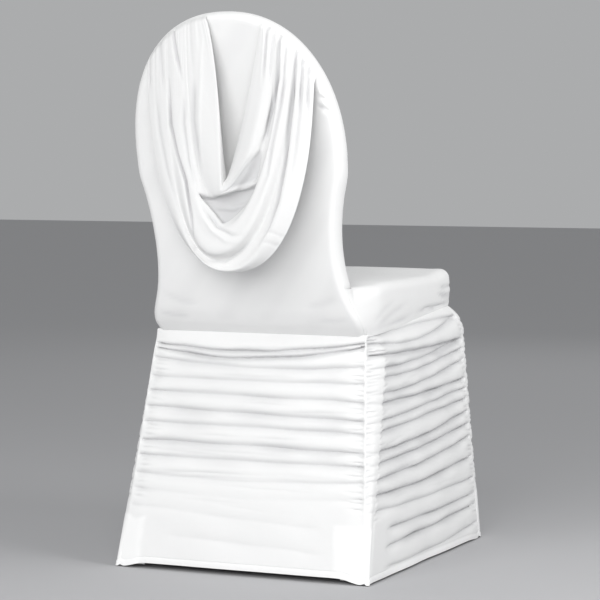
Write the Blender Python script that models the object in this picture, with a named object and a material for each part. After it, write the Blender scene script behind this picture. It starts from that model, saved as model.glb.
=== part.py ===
# Ruched stretch cover for a stacking banquet chair, with a draped swag behind its back.
# All sizes are in metres. The chair's front faces -Y, its back faces +Y and the floor is z = 0.
# The chair inside is left out, so every piece is a thin sheet that hangs as it does over one.

import bpy
import numpy as np

for old in list(bpy.data.objects):
    bpy.data.objects.remove(old, do_unlink=True)

# Cloth and seams
CLOTH = 0.0013
SEAM = 0.0006
CLEAR = 0.0022

# The whole cover is moved by this much in Y, so that its footprint is centred.
CENTRE_Y = 0.032

# Hood over the backrest
HOOD_DEPTH = 0.042
HOOD_EDGE = 0.014
HOOD_TOP = 0.930
HOOD_BOTTOM = 0.3998
HOOD_SEAM_ANGLE = 145.0
# Inset of the flat part of the hood's faces, and the height at which its edges meet the seat
HOOD_FLAT_INSET = 0.0189
HOOD_MEETS_SEAT = 0.48
# Turns round the hood's edge that carry cells, in degrees, for the rear and the front panel
REAR_TURNS = (172.0,)
FRONT_TURNS = (8.0, 40.0, 70.0, 97.0, 122.0)
# Distance along the outline from the middle of the crown to its two corners in the grid
CROWN_CORNER = 0.150
CROWN_HALF = 0.1885
CROWN_BASE = 0.700
CROWN_POWER = 2.20

# The hood's rear face leans back and rolls in to the cinch at its foot, a row per height.
# height, y
HOOD_REAR = (
    (0.398, 0.1790),
    (0.406, 0.1870),
    (0.418, 0.1975),
    (0.434, 0.2070),
    (0.455, 0.2150),
    (0.500, 0.2300),
    (0.550, 0.2430),
    (0.720, 0.2750),
    (0.930, 0.3240),
)

# Half-width of the hood below the crown, a row per height.
# height, half-width
HOOD_WIDTHS = (
    (0.398, 0.1915),
    (0.412, 0.1945),
    (0.425, 0.1930),
    (0.445, 0.1865),
    (0.470, 0.1775),
    (0.500, 0.1710),
    (0.545, 0.1680),
    (0.590, 0.1710),
    (0.630, 0.1780),
    (0.665, 0.1865),
    (0.700, 0.1885),
)

# Seat panel
SEAT_HALF = 0.2000
SEAT_FRONT = -0.2000
SEAT_EDGE = 0.017
SEAT_FLAT_Z = 0.4840
# Height of the seat's top along the seat, a row per distance.
# y, height
SEAT_HEIGHTS = (
    (-0.200, 0.4915),
    (-0.178, 0.4915),
    (-0.140, 0.4868),
    (-0.110, SEAT_FLAT_Z),
    (-0.100, SEAT_FLAT_Z),
    (0.080, SEAT_FLAT_Z),
    (0.090, SEAT_FLAT_Z),
    (0.130, 0.4810),
    (0.215, 0.4790),
)
# Section of the seat's rounded edge, a row per level.
# share of the edge's size outwards, share of it downwards
SEAT_ROUND = (
    (0.0, 0.0),
    (0.5, 0.13),
    (0.87, 0.5),
    (1.0, 1.0),
)
SEAT_BULGE = 0.0012
SEAT_TUCK = 0.0005
# Turns round the hood's edge by which the seat's sides leave its rear seam, in degrees
WING_TURNS = (122.0, 95.0)
WING_LAST_TURN = 60.0
# Shares of the way down the seat's sides beside the hood, and y of its rows from there to the front
WING_LEVELS = (0.0, 0.12, 0.30, 0.52, 0.76, 1.0)
WING_REACH = 0.028
SEAT_REAR_ROW = 0.08
SEAT_MIDDLE_ROW = -0.10
SEAT_RISE_ROW = -0.145
# Share of the hood's form kept in the first row before it, at the seat's edge and lower down, and
# what is left of that share in the second row
WING_EDGE_SHARE = 0.85
WING_SIDE_SHARE = 0.45
WING_SECOND_ROW = 0.25

# Skirt. The cinch is the gathered line under the seat, higher at the front than at the rear.
CINCH_REAR = 0.3990
CINCH_FRONT = 0.4260
CINCH_PULL = 0.042
CINCH_POWER = 2.2
CINCH_OPEN = 0.0011
HEM_LOW = 0.0002
HEM_TURN = 0.0025
HEM_LIFT = 0.0035
HEM_FOOT = 0.045
# Corner lines of the skirt, a row per line.
# name, x and y on the floor, x and y under the seat, x and y in the cinch
SKIRT_LINES = {
    "rear_seam": (0.2260, 0.2600, 0.1940, 0.1780, 0.1940, 0.1780),
    "rear_leg": (0.2310, 0.2520, 0.2115, 0.1270, 0.1970, 0.1400),
    "front_leg": (0.2320, -0.2790, 0.2150, -0.2260, 0.1995, -0.1995),
    "front_seam": (0.2320, -0.2790, 0.1995, -0.1995, 0.1995, -0.1995),
}
FRONT_ROUND = 0.020
FRONT_WRAP = 0.012
LEG_BEVEL = 0.004
# Share of a fold's depth kept at the crease over a rear leg, the distance over which it grows from
# there, and the panel's column that lies on the crease.
LEG_SHARE = 0.25
LEG_RISE = 0.020
LEG_COLUMN = 3
SEAM_TURN = 0.0011
REAR_SWELL = 0.012
REAR_SWELL_POWER = 0.7
# Places of the columns along the rear panel, along a side panel from the crease over its rear leg,
# and between the front panel's corners
REAR_PLACES = (0.0, 0.028, 0.12, 0.30, 0.50, 0.70, 0.88, 0.972, 1.0)
SIDE_PLACES = (0.18, 0.40, 0.62, 0.84, 0.965, 1.0)
FRONT_PLACES = (0.14, 0.32, 0.50, 0.68, 0.86)
FRONT_CORNER_TURNS = (4.0, 45.0, 90.0)
LEG_STRIP_MIDDLE = 0.45
# Section of the cloth between two troughs, a row per line of cells.
# share of the way up from the lower trough, share of that trough's depth
REAR_SECTION = (
    (0.16, 0.42),
    (0.52, 0.02),
)
SIDE_SECTION = (
    (0.22, 0.34),
    (0.62, 0.02),
)
# The same above the hem, and just under the next trough of the rear panel
FOOT_SECTION = (
    (0.45, 0.0),
    (0.80, 0.30),
)
UNDER_TROUGH = (0.84, 0.42)
HEM_HEIGHT = 0.006
# Folds start at a seam over this distance; the front panel's corners keep a share of them, from a
# place on and over a distance
FOLD_RISE = 0.011
CORNER_SHARE = 0.35
CORNER_FROM = 0.045
CORNER_RISE = 0.050

# Folds of the rear panel from the hem up, a row per trough.
# height at the left (+X) seam, in the middle, at the right seam, depth, depth kept in the middle
REAR_FOLDS = (
    (0.060, 0.052, 0.040, 0.0016, 1.0),
    (0.104, 0.092, 0.080, 0.0014, 0.9),
    (0.133, 0.126, 0.137, 0.0022, 0.3),
    (0.158, 0.154, 0.163, 0.0040, 0.5),
    (0.188, 0.187, 0.188, 0.0060, 0.8),
    (0.213, 0.212, 0.209, 0.0070, 1.0),
    (0.243, 0.243, 0.240, 0.0058, 0.8),
    (0.270, 0.265, 0.261, 0.0066, 1.0),
    (0.296, 0.294, 0.291, 0.0058, 0.9),
    (0.321, 0.319, 0.322, 0.0050, 0.8),
    (0.351, 0.341, 0.356, 0.0060, 0.9),
    (0.369, 0.3570, 0.3765, 0.0080, 1.0),
    (0.382, 0.3715, 0.3880, 0.0070, 1.0),
)

# Folds of the right side panel from the hem up, a row per trough.
# height at the rear seam, in the middle, at the front seam, depth, depth kept in the middle
RIGHT_FOLDS = (
    (0.024, 0.016, 0.031, 0.0030, 1.0),
    (0.052, 0.053, 0.064, 0.0050, 1.2),
    (0.084, 0.078, 0.083, 0.0046, 1.1),
    (0.116, 0.109, 0.113, 0.0040, 0.7),
    (0.142, 0.137, 0.153, 0.0064, 1.0),
    (0.165, 0.168, 0.189, 0.0060, 0.9),
    (0.189, 0.194, 0.212, 0.0060, 1.0),
    (0.210, 0.213, 0.236, 0.0066, 1.0),
    (0.239, 0.246, 0.258, 0.0056, 0.9),
    (0.257, 0.264, 0.278, 0.0050, 0.9),
    (0.288, 0.286, 0.295, 0.0066, 1.0),
    (0.303, 0.306, 0.330, 0.0050, 0.9),
    (0.329, 0.328, 0.350, 0.0054, 0.8),
    (0.347, 0.3455, 0.366, 0.0062, 0.8),
    (0.368, 0.364, 0.382, 0.0070, 0.9),
    (0.386, 0.384, 0.406, 0.0054, 0.8),
)

# Folds of the left side panel from the hem up, read as the rows above.
LEFT_FOLDS = (
    (0.028, 0.020, 0.027, 0.0028, 1.0),
    (0.055, 0.058, 0.060, 0.0046, 1.1),
    (0.086, 0.083, 0.088, 0.0050, 1.0),
    (0.119, 0.113, 0.117, 0.0044, 0.8),
    (0.146, 0.142, 0.149, 0.0062, 1.0),
    (0.171, 0.172, 0.183, 0.0056, 0.9),
    (0.193, 0.198, 0.209, 0.0064, 1.0),
    (0.216, 0.219, 0.233, 0.0058, 1.0),
    (0.243, 0.243, 0.256, 0.0062, 0.9),
    (0.263, 0.267, 0.281, 0.0050, 1.0),
    (0.289, 0.291, 0.301, 0.0064, 0.9),
    (0.311, 0.312, 0.326, 0.0054, 0.9),
    (0.333, 0.334, 0.348, 0.0052, 0.8),
    (0.354, 0.353, 0.370, 0.0060, 0.9),
    (0.373, 0.375, 0.389, 0.0062, 0.9),
    (0.388, 0.393, 0.409, 0.0050, 0.8),
)

# Folds of the front panel from the hem up, a row per trough.
# height at the right (-X) seam, in the middle, at the left seam, depth, depth kept in the middle
FRONT_FOLDS = (
    (0.050, 0.058, 0.052, 0.0018, 0.9),
    (0.102, 0.094, 0.104, 0.0024, 0.6),
    (0.146, 0.140, 0.143, 0.0040, 0.7),
    (0.181, 0.174, 0.178, 0.0058, 0.9),
    (0.214, 0.209, 0.213, 0.0060, 1.0),
    (0.246, 0.239, 0.243, 0.0064, 0.9),
    (0.278, 0.272, 0.276, 0.0058, 1.0),
    (0.310, 0.302, 0.309, 0.0062, 0.9),
    (0.343, 0.334, 0.341, 0.0058, 0.9),
    (0.374, 0.363, 0.372, 0.0066, 1.0),
    (0.399, 0.389, 0.398, 0.0066, 1.0),
)

# Foot pockets inside the skirt's corners
POCKET_HEIGHT = 0.086
POCKET_BOTTOM = 0.006
POCKET_REACH = 0.045
POCKET_INSET = 0.0016
POCKET_ROWS = 4
POCKET_POINTS = 9
POCKET_FRONT_SHARE = 0.6
# Folds are left out over a pocket: how far from a corner, how much further at a rear leg, and the
# distances over which they start again sideways and upwards
POCKET_ZONE = 0.062
POCKET_CALM = 0.045
POCKET_FADE = 0.040
POCKET_FADE_UP = 0.020

# Swag. Its two ends are gathered along the hood's upper edge and it falls plumb from them.
SWAG_INSET = 0.0125
SWAG_PLEATS = 8.5
SWAG_PLEAT = 0.0024
SWAG_CLOTH = 0.0011
SWAG_HANG = 0.8
# Where the gathers start on the way up to an end and the rest of the way over which they grow
ENDS_FROM = 0.55
ENDS_RISE = 0.40
PLEATS_FROM = 0.62
PLEATS_RISE = 0.30
# Y of its low points on average, and how fast its folds flatten upwards
SWAG_BELLY = 0.322
SWAG_SETTLE = 2.5
SWAG_BULGE = 1.2
# Lines along the swag from the neck edge to the lower hem, a row per line.
# x of the left end, x of the right end, how straight the left and the right half are
# (1 an ellipse, 2 a plain V), stand-off of the ends, stand-off half way, x, y and z of the low point
SWAG_LINES = (
    (0.0270, 0.0720, 3.20, 1.65, 0.0020, 0.001, -0.0020, 0.3060, 0.6590),
    (0.0290, 0.0750, 2.90, 1.35, 0.0045, 0.004, -0.0030, 0.3220, 0.6530),
    (0.0320, 0.0794, 2.60, 1.11, 0.0055, 0.005, -0.0030, 0.3300, 0.6440),
    (0.0450, 0.0870, 1.40, 0.95, 0.0045, 0.004, 0.0040, 0.3240, 0.6330),
    (0.0580, 0.0950, 0.92, 0.88, 0.0012, 0.001, 0.0053, 0.3100, 0.6265),
    (0.0600, 0.0975, 0.87, 0.95, 0.0016, 0.000, -0.0008, 0.3120, 0.6113),
    (0.0620, 0.1000, 0.89, 1.04, 0.0010, -0.001, -0.0066, 0.3080, 0.5866),
    (0.0650, 0.1040, 0.84, 1.04, 0.0035, 0.002, -0.0053, 0.3240, 0.5880),
    (0.0690, 0.1070, 0.89, 1.03, 0.0060, 0.006, -0.0030, 0.3350, 0.5780),
    (0.0750, 0.1110, 0.86, 1.00, 0.0035, 0.005, 0.0010, 0.3350, 0.5620),
    (0.0860, 0.1170, 0.83, 0.97, 0.0060, 0.007, 0.0040, 0.3370, 0.5400),
    (0.0964, 0.1250, 0.80, 0.94, 0.0012, 0.000, 0.0013, 0.3210, 0.5295),
    (0.1020, 0.1280, 0.82, 0.94, 0.0025, 0.001, -0.0054, 0.3250, 0.5202),
    (0.1141, 0.1350, 0.86, 0.93, 0.0060, 0.005, -0.0115, 0.3290, 0.5126),
    (0.1370, 0.1580, 0.94, 0.84, 0.0020, 0.000, -0.0100, 0.3120, 0.5092),
)

# Counts of the points of the hood's outline: up a side, round half the crown, and evenly spread
OUTLINE_SIDE = 160
OUTLINE_CROWN = 240
OUTLINE_HALF = 401

# Counts of cells
SWAG_STEPS = 3
SWAG_COLUMNS = 30
HOOD_SIDE_CELLS = 12
HOOD_TOP_CELLS = 12
SEAT_TOP_CELLS = 4
SEAT_LONG_CELLS = 6
SEAT_DROP_CELLS = 5


def smooth(x, table):
    """Smooth curve through the rows (place, value) of a short table."""
    knots = np.array([row[0] for row in table], float)
    values = np.array([row[1] for row in table], float)
    slopes = np.gradient(values, knots)
    x = np.clip(np.asarray(x, float), knots[0], knots[-1])
    i = np.clip(np.searchsorted(knots, x) - 1, 0, len(knots) - 2)
    width = knots[i + 1] - knots[i]
    t = (x - knots[i]) / width
    start = (2 * t ** 3 - 3 * t ** 2 + 1) * values[i] + (t ** 3 - 2 * t ** 2 + t) * width * slopes[i]
    end = (3 * t ** 2 - 2 * t ** 3) * values[i + 1] + (t ** 3 - t ** 2) * width * slopes[i + 1]
    return start + end


def ease(t):
    """0 to 1 with soft ends."""
    t = np.clip(t, 0.0, 1.0)
    return t * t * (3 - 2 * t)


def resample(line, count):
    """Points at even distances along a polyline."""
    line = np.asarray(line, float)
    steps = np.linalg.norm(np.diff(line, axis=0), axis=1)
    along = np.concatenate([[0.0], np.cumsum(steps)])
    wanted = np.linspace(0.0, along[-1], count)
    return np.stack([np.interp(wanted, along, line[:, k]) for k in range(line.shape[1])], axis=1)


class Patch:
    """Vertices and faces of one surface, with vertices at the same place joined."""

    def __init__(self):
        self.points = []
        self.faces = []
        self.found = {}

    def vertex(self, point):
        key = tuple(int(round(float(c) * 1e6)) for c in point)
        if key not in self.found:
            self.found[key] = len(self.points)
            self.points.append([float(c) for c in point])
        return self.found[key]

    def grid(self, table, keep=None):
        """Adds cells between neighbouring points of a table of points."""
        rows = len(table)
        columns = len(table[0])
        ids = [[self.vertex(table[r][c]) for c in range(columns)] for r in range(rows)]
        for r in range(rows - 1):
            for c in range(columns - 1):
                if keep is not None and not keep(r, c):
                    continue
                self.faces.append((ids[r][c], ids[r][c + 1], ids[r + 1][c + 1], ids[r + 1][c]))


def surface_normals(points, faces):
    """Unit normal at each vertex."""
    normals = np.zeros_like(points)
    for face in faces:
        a, b, c, d = (points[i] for i in face)
        n = np.cross(c - a, d - b)
        for i in face:
            normals[i] += n
    length = np.linalg.norm(normals, axis=1)
    length[length == 0] = 1.0
    return normals / length[:, None]


def halves(points, face):
    """The two triangles of a cell, split along its shorter diagonal, the same on both sides of the cloth."""
    a, b, c, d = face
    if np.linalg.norm(points[a] - points[c]) <= np.linalg.norm(points[b] - points[d]):
        return (a, b, c), (a, c, d)
    return (a, b, d), (b, c, d)


def material(name, colour, roughness):
    made = bpy.data.materials.new(name)
    made.use_nodes = True
    shader = made.node_tree.nodes["Principled BSDF"]
    shader.inputs["Base Color"].default_value = (colour[0], colour[1], colour[2], 1.0)
    shader.inputs["Roughness"].default_value = roughness
    shader.inputs["Metallic"].default_value = 0.0
    return made


def cloth_piece(name, patch, outward, colour=(0.90, 0.90, 0.89), thickness=CLOTH):
    """One closed sheet of cloth, half its thickness to each side of a surface."""
    points = np.array(patch.points, float)
    faces = list(patch.faces)
    normals = surface_normals(points, faces)
    if np.sum(normals @ np.asarray(outward, float)) < 0:
        faces = [tuple(reversed(face)) for face in faces]
        normals = -normals
    count = len(points)
    outer = points + normals * thickness / 2
    inner = points - normals * thickness / 2
    both = np.concatenate([outer, inner])
    both[:, 1] -= CENTRE_Y
    closed = []
    edges = {}
    for face in faces:
        for half in halves(points, face):
            closed.append(half)
            closed.append(tuple(i + count for i in reversed(half)))
        for k in range(4):
            a, b = face[k], face[(k + 1) % 4]
            edges[(a, b)] = edges.get((a, b), 0) + 1
    for (a, b) in edges:
        if (b, a) not in edges:
            closed.append((b, a, a + count, b + count))
    mesh = bpy.data.meshes.new(name)
    mesh.from_pydata([tuple(p) for p in both], [], closed)
    mesh.update()
    mesh.validate()
    made = bpy.data.objects.new(name, mesh)
    bpy.context.collection.objects.link(made)
    made.data.materials.append(material(name + "_cloth", colour, 0.85))
    bpy.context.view_layer.objects.active = made
    made.select_set(True)
    bpy.ops.object.shade_smooth()
    mesh.set_sharp_from_angle(angle=np.radians(55.0))
    made.select_set(False)
    return made


def rear_plane(z):
    """Y of the hood's rear face at a height."""
    return smooth(z, HOOD_REAR)


def hood_outline(bottom):
    """Left half, crown and right half of the hood's outline as x, z points and outward normals."""
    low = np.linspace(bottom, CROWN_BASE, OUTLINE_SIDE, endpoint=False)
    side = np.stack([smooth(low, HOOD_WIDTHS), low], axis=1)
    angle = np.linspace(0.0, np.pi / 2, OUTLINE_CROWN)
    power = 2.0 / CROWN_POWER
    crown = np.stack([
        CROWN_HALF * np.cos(angle) ** power,
        CROWN_BASE + (HOOD_TOP - CROWN_BASE) * np.sin(angle) ** power,
    ], axis=1)
    half = resample(np.concatenate([side, crown]), OUTLINE_HALF)
    half[-1, 0] = 0.0
    other = half[-2::-1] * np.array([-1.0, 1.0])
    line = np.concatenate([half, other])
    run = np.gradient(line, axis=0)
    normal = np.stack([run[:, 1], -run[:, 0]], axis=1)
    normal /= np.linalg.norm(normal, axis=1)[:, None]
    normal[0] = (1.0, 0.0)
    normal[-1] = (-1.0, 0.0)
    return line, normal


def coons(left, top, right, bottom):
    """Points that fill a region between four edges; left and right run upwards."""
    rows = len(left)
    columns = len(top)
    table = np.zeros((rows, columns, left.shape[1]))
    for r in range(rows):
        v = r / (rows - 1)
        for c in range(columns):
            u = c / (columns - 1)
            across = (1 - u) * left[r] + u * right[r]
            along = (1 - v) * bottom[c] + v * top[c]
            corners = ((1 - u) * (1 - v) * left[0] + u * (1 - v) * right[0]
                       + (1 - u) * v * left[-1] + u * v * right[-1])
            table[r, c] = across + along - corners
    return table


def outline_marks(line):
    """Indices of the outline's points that carry the hood's cells, and of its two upper corners."""
    half = (len(line) - 1) // 2
    steps = np.linalg.norm(np.diff(line, axis=0), axis=1)
    along = np.concatenate([[0.0], np.cumsum(steps)])
    corner_at = along[half] - CROWN_CORNER
    side = np.linspace(0.0, corner_at, HOOD_SIDE_CELLS + 1)
    top = np.linspace(corner_at, along[-1] - corner_at, HOOD_TOP_CELLS + 1)
    other = along[-1] - side[::-1]
    wanted = np.concatenate([side, top[1:-1], other])
    return np.array([int(np.argmin(np.abs(along - w))) for w in wanted])


def hood_shell(bottom, rings, face_side, floor_height):
    """A hood panel: a filled face and rings round its edge.

    rings is a list of (inset from the outline, y from the middle plane), from the face outwards.
    """
    line, normal = hood_outline(bottom)
    marks = outline_marks(line)
    patch = Patch()

    def ring_points(inset):
        flat = line[marks] - normal[marks] * inset
        flat[0, 1] = flat[-1, 1] = bottom
        return flat

    def lift(flat, offset):
        points = []
        for x, z in flat:
            middle = rear_plane(z) - HOOD_DEPTH / 2
            points.append([x, middle + offset, z])
        return points

    first_inset, first_offset = rings[0]
    flat = ring_points(first_inset)
    left = flat[:HOOD_SIDE_CELLS + 1]
    top = flat[HOOD_SIDE_CELLS:HOOD_SIDE_CELLS + HOOD_TOP_CELLS + 1]
    right = flat[HOOD_SIDE_CELLS + HOOD_TOP_CELLS:][::-1]
    base = np.stack([np.linspace(left[0, 0], right[0, 0], HOOD_TOP_CELLS + 1),
                     np.full(HOOD_TOP_CELLS + 1, bottom)], axis=1)
    inside = coons(left, top, right, base)
    table = []
    for row in inside:
        table.append(lift(row, first_offset))
    strips = [lift(ring_points(inset), offset) for inset, offset in rings]
    for group in (table, strips):
        for points in group:
            for point in points:
                if face_side < 0 and point[2] <= floor_height + 1e-9:
                    point[2] = float(smooth(point[1], SEAT_HEIGHTS)) + CLEAR / 2 + SEAM
    patch.grid(table)
    patch.grid(strips)
    return patch


def edge_turn(angle):
    """Inset from the hood's outline and distance from its middle plane, round its rounded edge."""
    return HOOD_EDGE * (1 - np.sin(angle)), -HOOD_DEPTH / 2 * np.cos(angle)


def build_hood():
    """Rear panel up to the seam near the edge, and front panel with the edge turned round to it."""
    half = HOOD_DEPTH / 2
    seam = np.radians(HOOD_SEAM_ANGLE)
    seam_turn = SEAM / HOOD_EDGE
    rear_rings = [(HOOD_FLAT_INSET, half)]
    for degrees in REAR_TURNS:
        rear_rings.append(edge_turn(np.radians(degrees)))
    rear_rings.append(edge_turn(seam + seam_turn))
    rear = hood_shell(HOOD_BOTTOM, rear_rings, 1, HOOD_BOTTOM)
    cloth_piece("back_rear_panel", rear, (0, 1, 0))
    foot = float(smooth(rear_plane(HOOD_MEETS_SEAT) - half, SEAT_HEIGHTS)) + CLEAR
    front_rings = [(HOOD_FLAT_INSET, -half)]
    for degrees in FRONT_TURNS:
        front_rings.append(edge_turn(np.radians(degrees)))
    front_rings.append(edge_turn(seam - seam_turn))
    front = hood_shell(foot, front_rings, -1, foot)
    cloth_piece("back_front_panel", front, (0, -1, 0))


def seat_ring(level):
    """Distance out from the flat top and share of the drop at a level of the seat's edge."""
    if level < len(SEAT_ROUND):
        out, fall = SEAT_ROUND[level]
        return out * SEAT_EDGE, fall * SEAT_EDGE, 0.0
    extra = (level - len(SEAT_ROUND) + 1) / (SEAT_DROP_CELLS - len(SEAT_ROUND) + 1)
    return SEAT_EDGE, SEAT_EDGE, extra


def seat_point(sign, side_level, front_level, across, y):
    """A point of the seat panel from its place in the grid."""
    level = max(side_level, front_level)
    out, fall, extra = seat_ring(level)
    flat_x = SEAT_HALF - SEAT_EDGE
    flat_y = SEAT_FRONT + SEAT_EDGE
    top = float(smooth(max(y, flat_y), SEAT_HEIGHTS))
    cinch = float(cinch_height(y if front_level == 0 else SEAT_FRONT)) + CINCH_OPEN
    z = top - fall
    z = z + (cinch - z) * extra
    bulge = SEAT_BULGE * np.sin(np.pi * extra) - SEAT_TUCK * extra
    if side_level == 0 and front_level == 0:
        return [sign * across * flat_x, y, z]
    if front_level == 0:
        return [sign * (flat_x + out + bulge), y, z]
    if side_level == 0:
        return [sign * across * flat_x, flat_y - out - bulge, z]
    if side_level >= front_level:
        angle = np.radians(45.0) * front_level / side_level
    else:
        angle = np.radians(90.0) - np.radians(45.0) * side_level / front_level
    reach = out + bulge
    return [sign * (flat_x + reach * np.cos(angle)), flat_y - reach * np.sin(angle), z]


def seat_wing(side_level, angle, foot_y):
    """Place on the seat's sides beside the hood, where they follow the hood's edge to its rear seam."""
    top = float(smooth(rear_plane(HOOD_MEETS_SEAT), SEAT_HEIGHTS))
    foot = float(cinch_height(foot_y)) + CINCH_OPEN
    z = top + (foot - top) * WING_LEVELS[side_level]
    inset, offset = edge_turn(np.radians(angle))
    wide = float(smooth(z, HOOD_WIDTHS)) - inset
    return wide, float(rear_plane(z)) - HOOD_DEPTH / 2 + offset, z


def build_seat():
    """Seat panel: the top and the drop at the front and both sides, open behind under the hood."""
    flat_y = SEAT_FRONT + SEAT_EDGE
    seam_turn = np.degrees(SEAM / HOOD_EDGE)
    turns = (HOOD_SEAM_ANGLE - seam_turn,) + WING_TURNS
    front_of_hood = float(rear_plane(HOOD_MEETS_SEAT)) - HOOD_DEPTH
    stops = [front_of_hood] * len(turns)
    stops += [front_of_hood - CLEAR, front_of_hood - WING_REACH]
    stops += list(np.linspace(SEAT_REAR_ROW, SEAT_MIDDLE_ROW, SEAT_LONG_CELLS - 1))
    stops += [SEAT_RISE_ROW, flat_y]
    drop = SEAT_DROP_CELLS
    places = list(range(-SEAT_TOP_CELLS - drop, SEAT_TOP_CELLS + drop + 1))
    flat_rows = len(stops)
    table = []
    for row in range(flat_rows + drop):
        front_level = max(0, row - flat_rows + 1)
        y = stops[min(row, flat_rows - 1)]
        points = []
        for place in places:
            sign = -1.0 if place < 0 else 1.0
            side_level = max(0, abs(place) - SEAT_TOP_CELLS)
            across = min(abs(place), SEAT_TOP_CELLS) / SEAT_TOP_CELLS
            point = seat_point(sign, side_level, front_level, across, y)
            edge = side_level > 0 or across == 1.0
            if row < len(turns) and edge:
                wide, rear_y, z = seat_wing(side_level, turns[row], y)
                point = [sign * wide, rear_y, z]
            elif row < len(turns) + 2 and edge:
                slope_y = float(rear_plane(point[2])) - HOOD_DEPTH - (front_of_hood - y)
                point = seat_point(sign, side_level, front_level, across, slope_y)
                wide, _, z = seat_wing(side_level, WING_LAST_TURN, slope_y)
                share = WING_EDGE_SHARE if side_level == 0 else WING_SIDE_SHARE
                if row > len(turns):
                    share *= WING_SECOND_ROW
                point = [sign * (abs(point[0]) * (1 - share) + wide * share),
                         slope_y, point[2] * (1 - share) + z * share]
            points.append(point)
        table.append(points)

    def keep(r, c):
        inner = SEAT_DROP_CELLS <= c < SEAT_DROP_CELLS + 2 * SEAT_TOP_CELLS
        return not (r < len(turns) and inner)

    patch = Patch()
    patch.grid(table, keep)
    cloth_piece("seat_panel", patch, (0, 0, 1))


def skirt_line(name, share, pull):
    """x (at the left, +X) and y of a corner line at a share of the way up to the cinch."""
    floor_x, floor_y, seat_x, seat_y, cinch_x, cinch_y = SKIRT_LINES[name]
    x = floor_x + (seat_x - floor_x) * share
    y = floor_y + (seat_y - floor_y) * share
    return np.array([x + (cinch_x - x) * pull, y + (cinch_y - y) * pull])


def skirt_columns(panel, share, pull):
    """Plan of a panel at one height: the points of its columns, from its first seam to its last."""
    seam = skirt_line("rear_seam", share, pull)
    leg = skirt_line("rear_leg", share, pull)
    front = skirt_line("front_leg", share, pull)
    other = np.array([-1.0, 1.0])
    turn = FRONT_ROUND
    straight = skirt_line("front_seam", share, 0.0)
    wrap = np.array([front[0], straight[1] + turn + FRONT_WRAP])
    if panel == "rear":
        end = seam * other
        points = [seam + (end - seam) * p for p in REAR_PLACES]
        bow = np.sin(np.pi * np.array(REAR_PLACES)) ** REAR_SWELL_POWER
        swell = REAR_SWELL * share * (1 - pull) * bow
        return np.array(points) + np.stack([np.zeros(len(REAR_PLACES)), swell], axis=1)
    if panel == "front":
        middle = front + np.array([-turn, turn])
        corner = []
        for degrees in FRONT_CORNER_TURNS:
            angle = np.radians(degrees)
            corner.append(middle + turn * np.array([np.cos(angle), -np.sin(angle)]))
        left = [wrap] + corner
        inner = []
        for p in FRONT_PLACES:
            inner.append(corner[-1] + (corner[-1] * other - corner[-1]) * p)
        right = [point * other for point in left[::-1]]
        return np.array(left + inner + right)
    strip = leg - seam
    length = np.linalg.norm(strip)
    bevel = min(LEG_BEVEL, 0.3 * length)
    run = wrap - leg
    unit = run / np.linalg.norm(run)
    points = [seam, seam + strip * LEG_STRIP_MIDDLE, leg - strip / length * bevel, leg + unit * bevel]
    for p in SIDE_PLACES:
        points.append(leg + run * p)
    points = np.array(points)
    if panel == "right":
        points = points * other
    return points


def column_shares(points):
    """Share of a panel's width at each of its columns."""
    steps = np.linalg.norm(np.diff(points, axis=0), axis=1)
    along = np.concatenate([[0.0], np.cumsum(steps)])
    return along / along[-1], along


def cinch_height(y):
    """Height of the cinch at a distance along the seat: level at the rear, higher at the front."""
    rear = SKIRT_LINES["rear_leg"][5]
    front = SKIRT_LINES["front_leg"][5]
    reach = np.clip((rear - np.asarray(y, float)) / (rear - front), 0.0, 1.0)
    return CINCH_REAR + (CINCH_FRONT - CINCH_REAR) * reach


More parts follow.
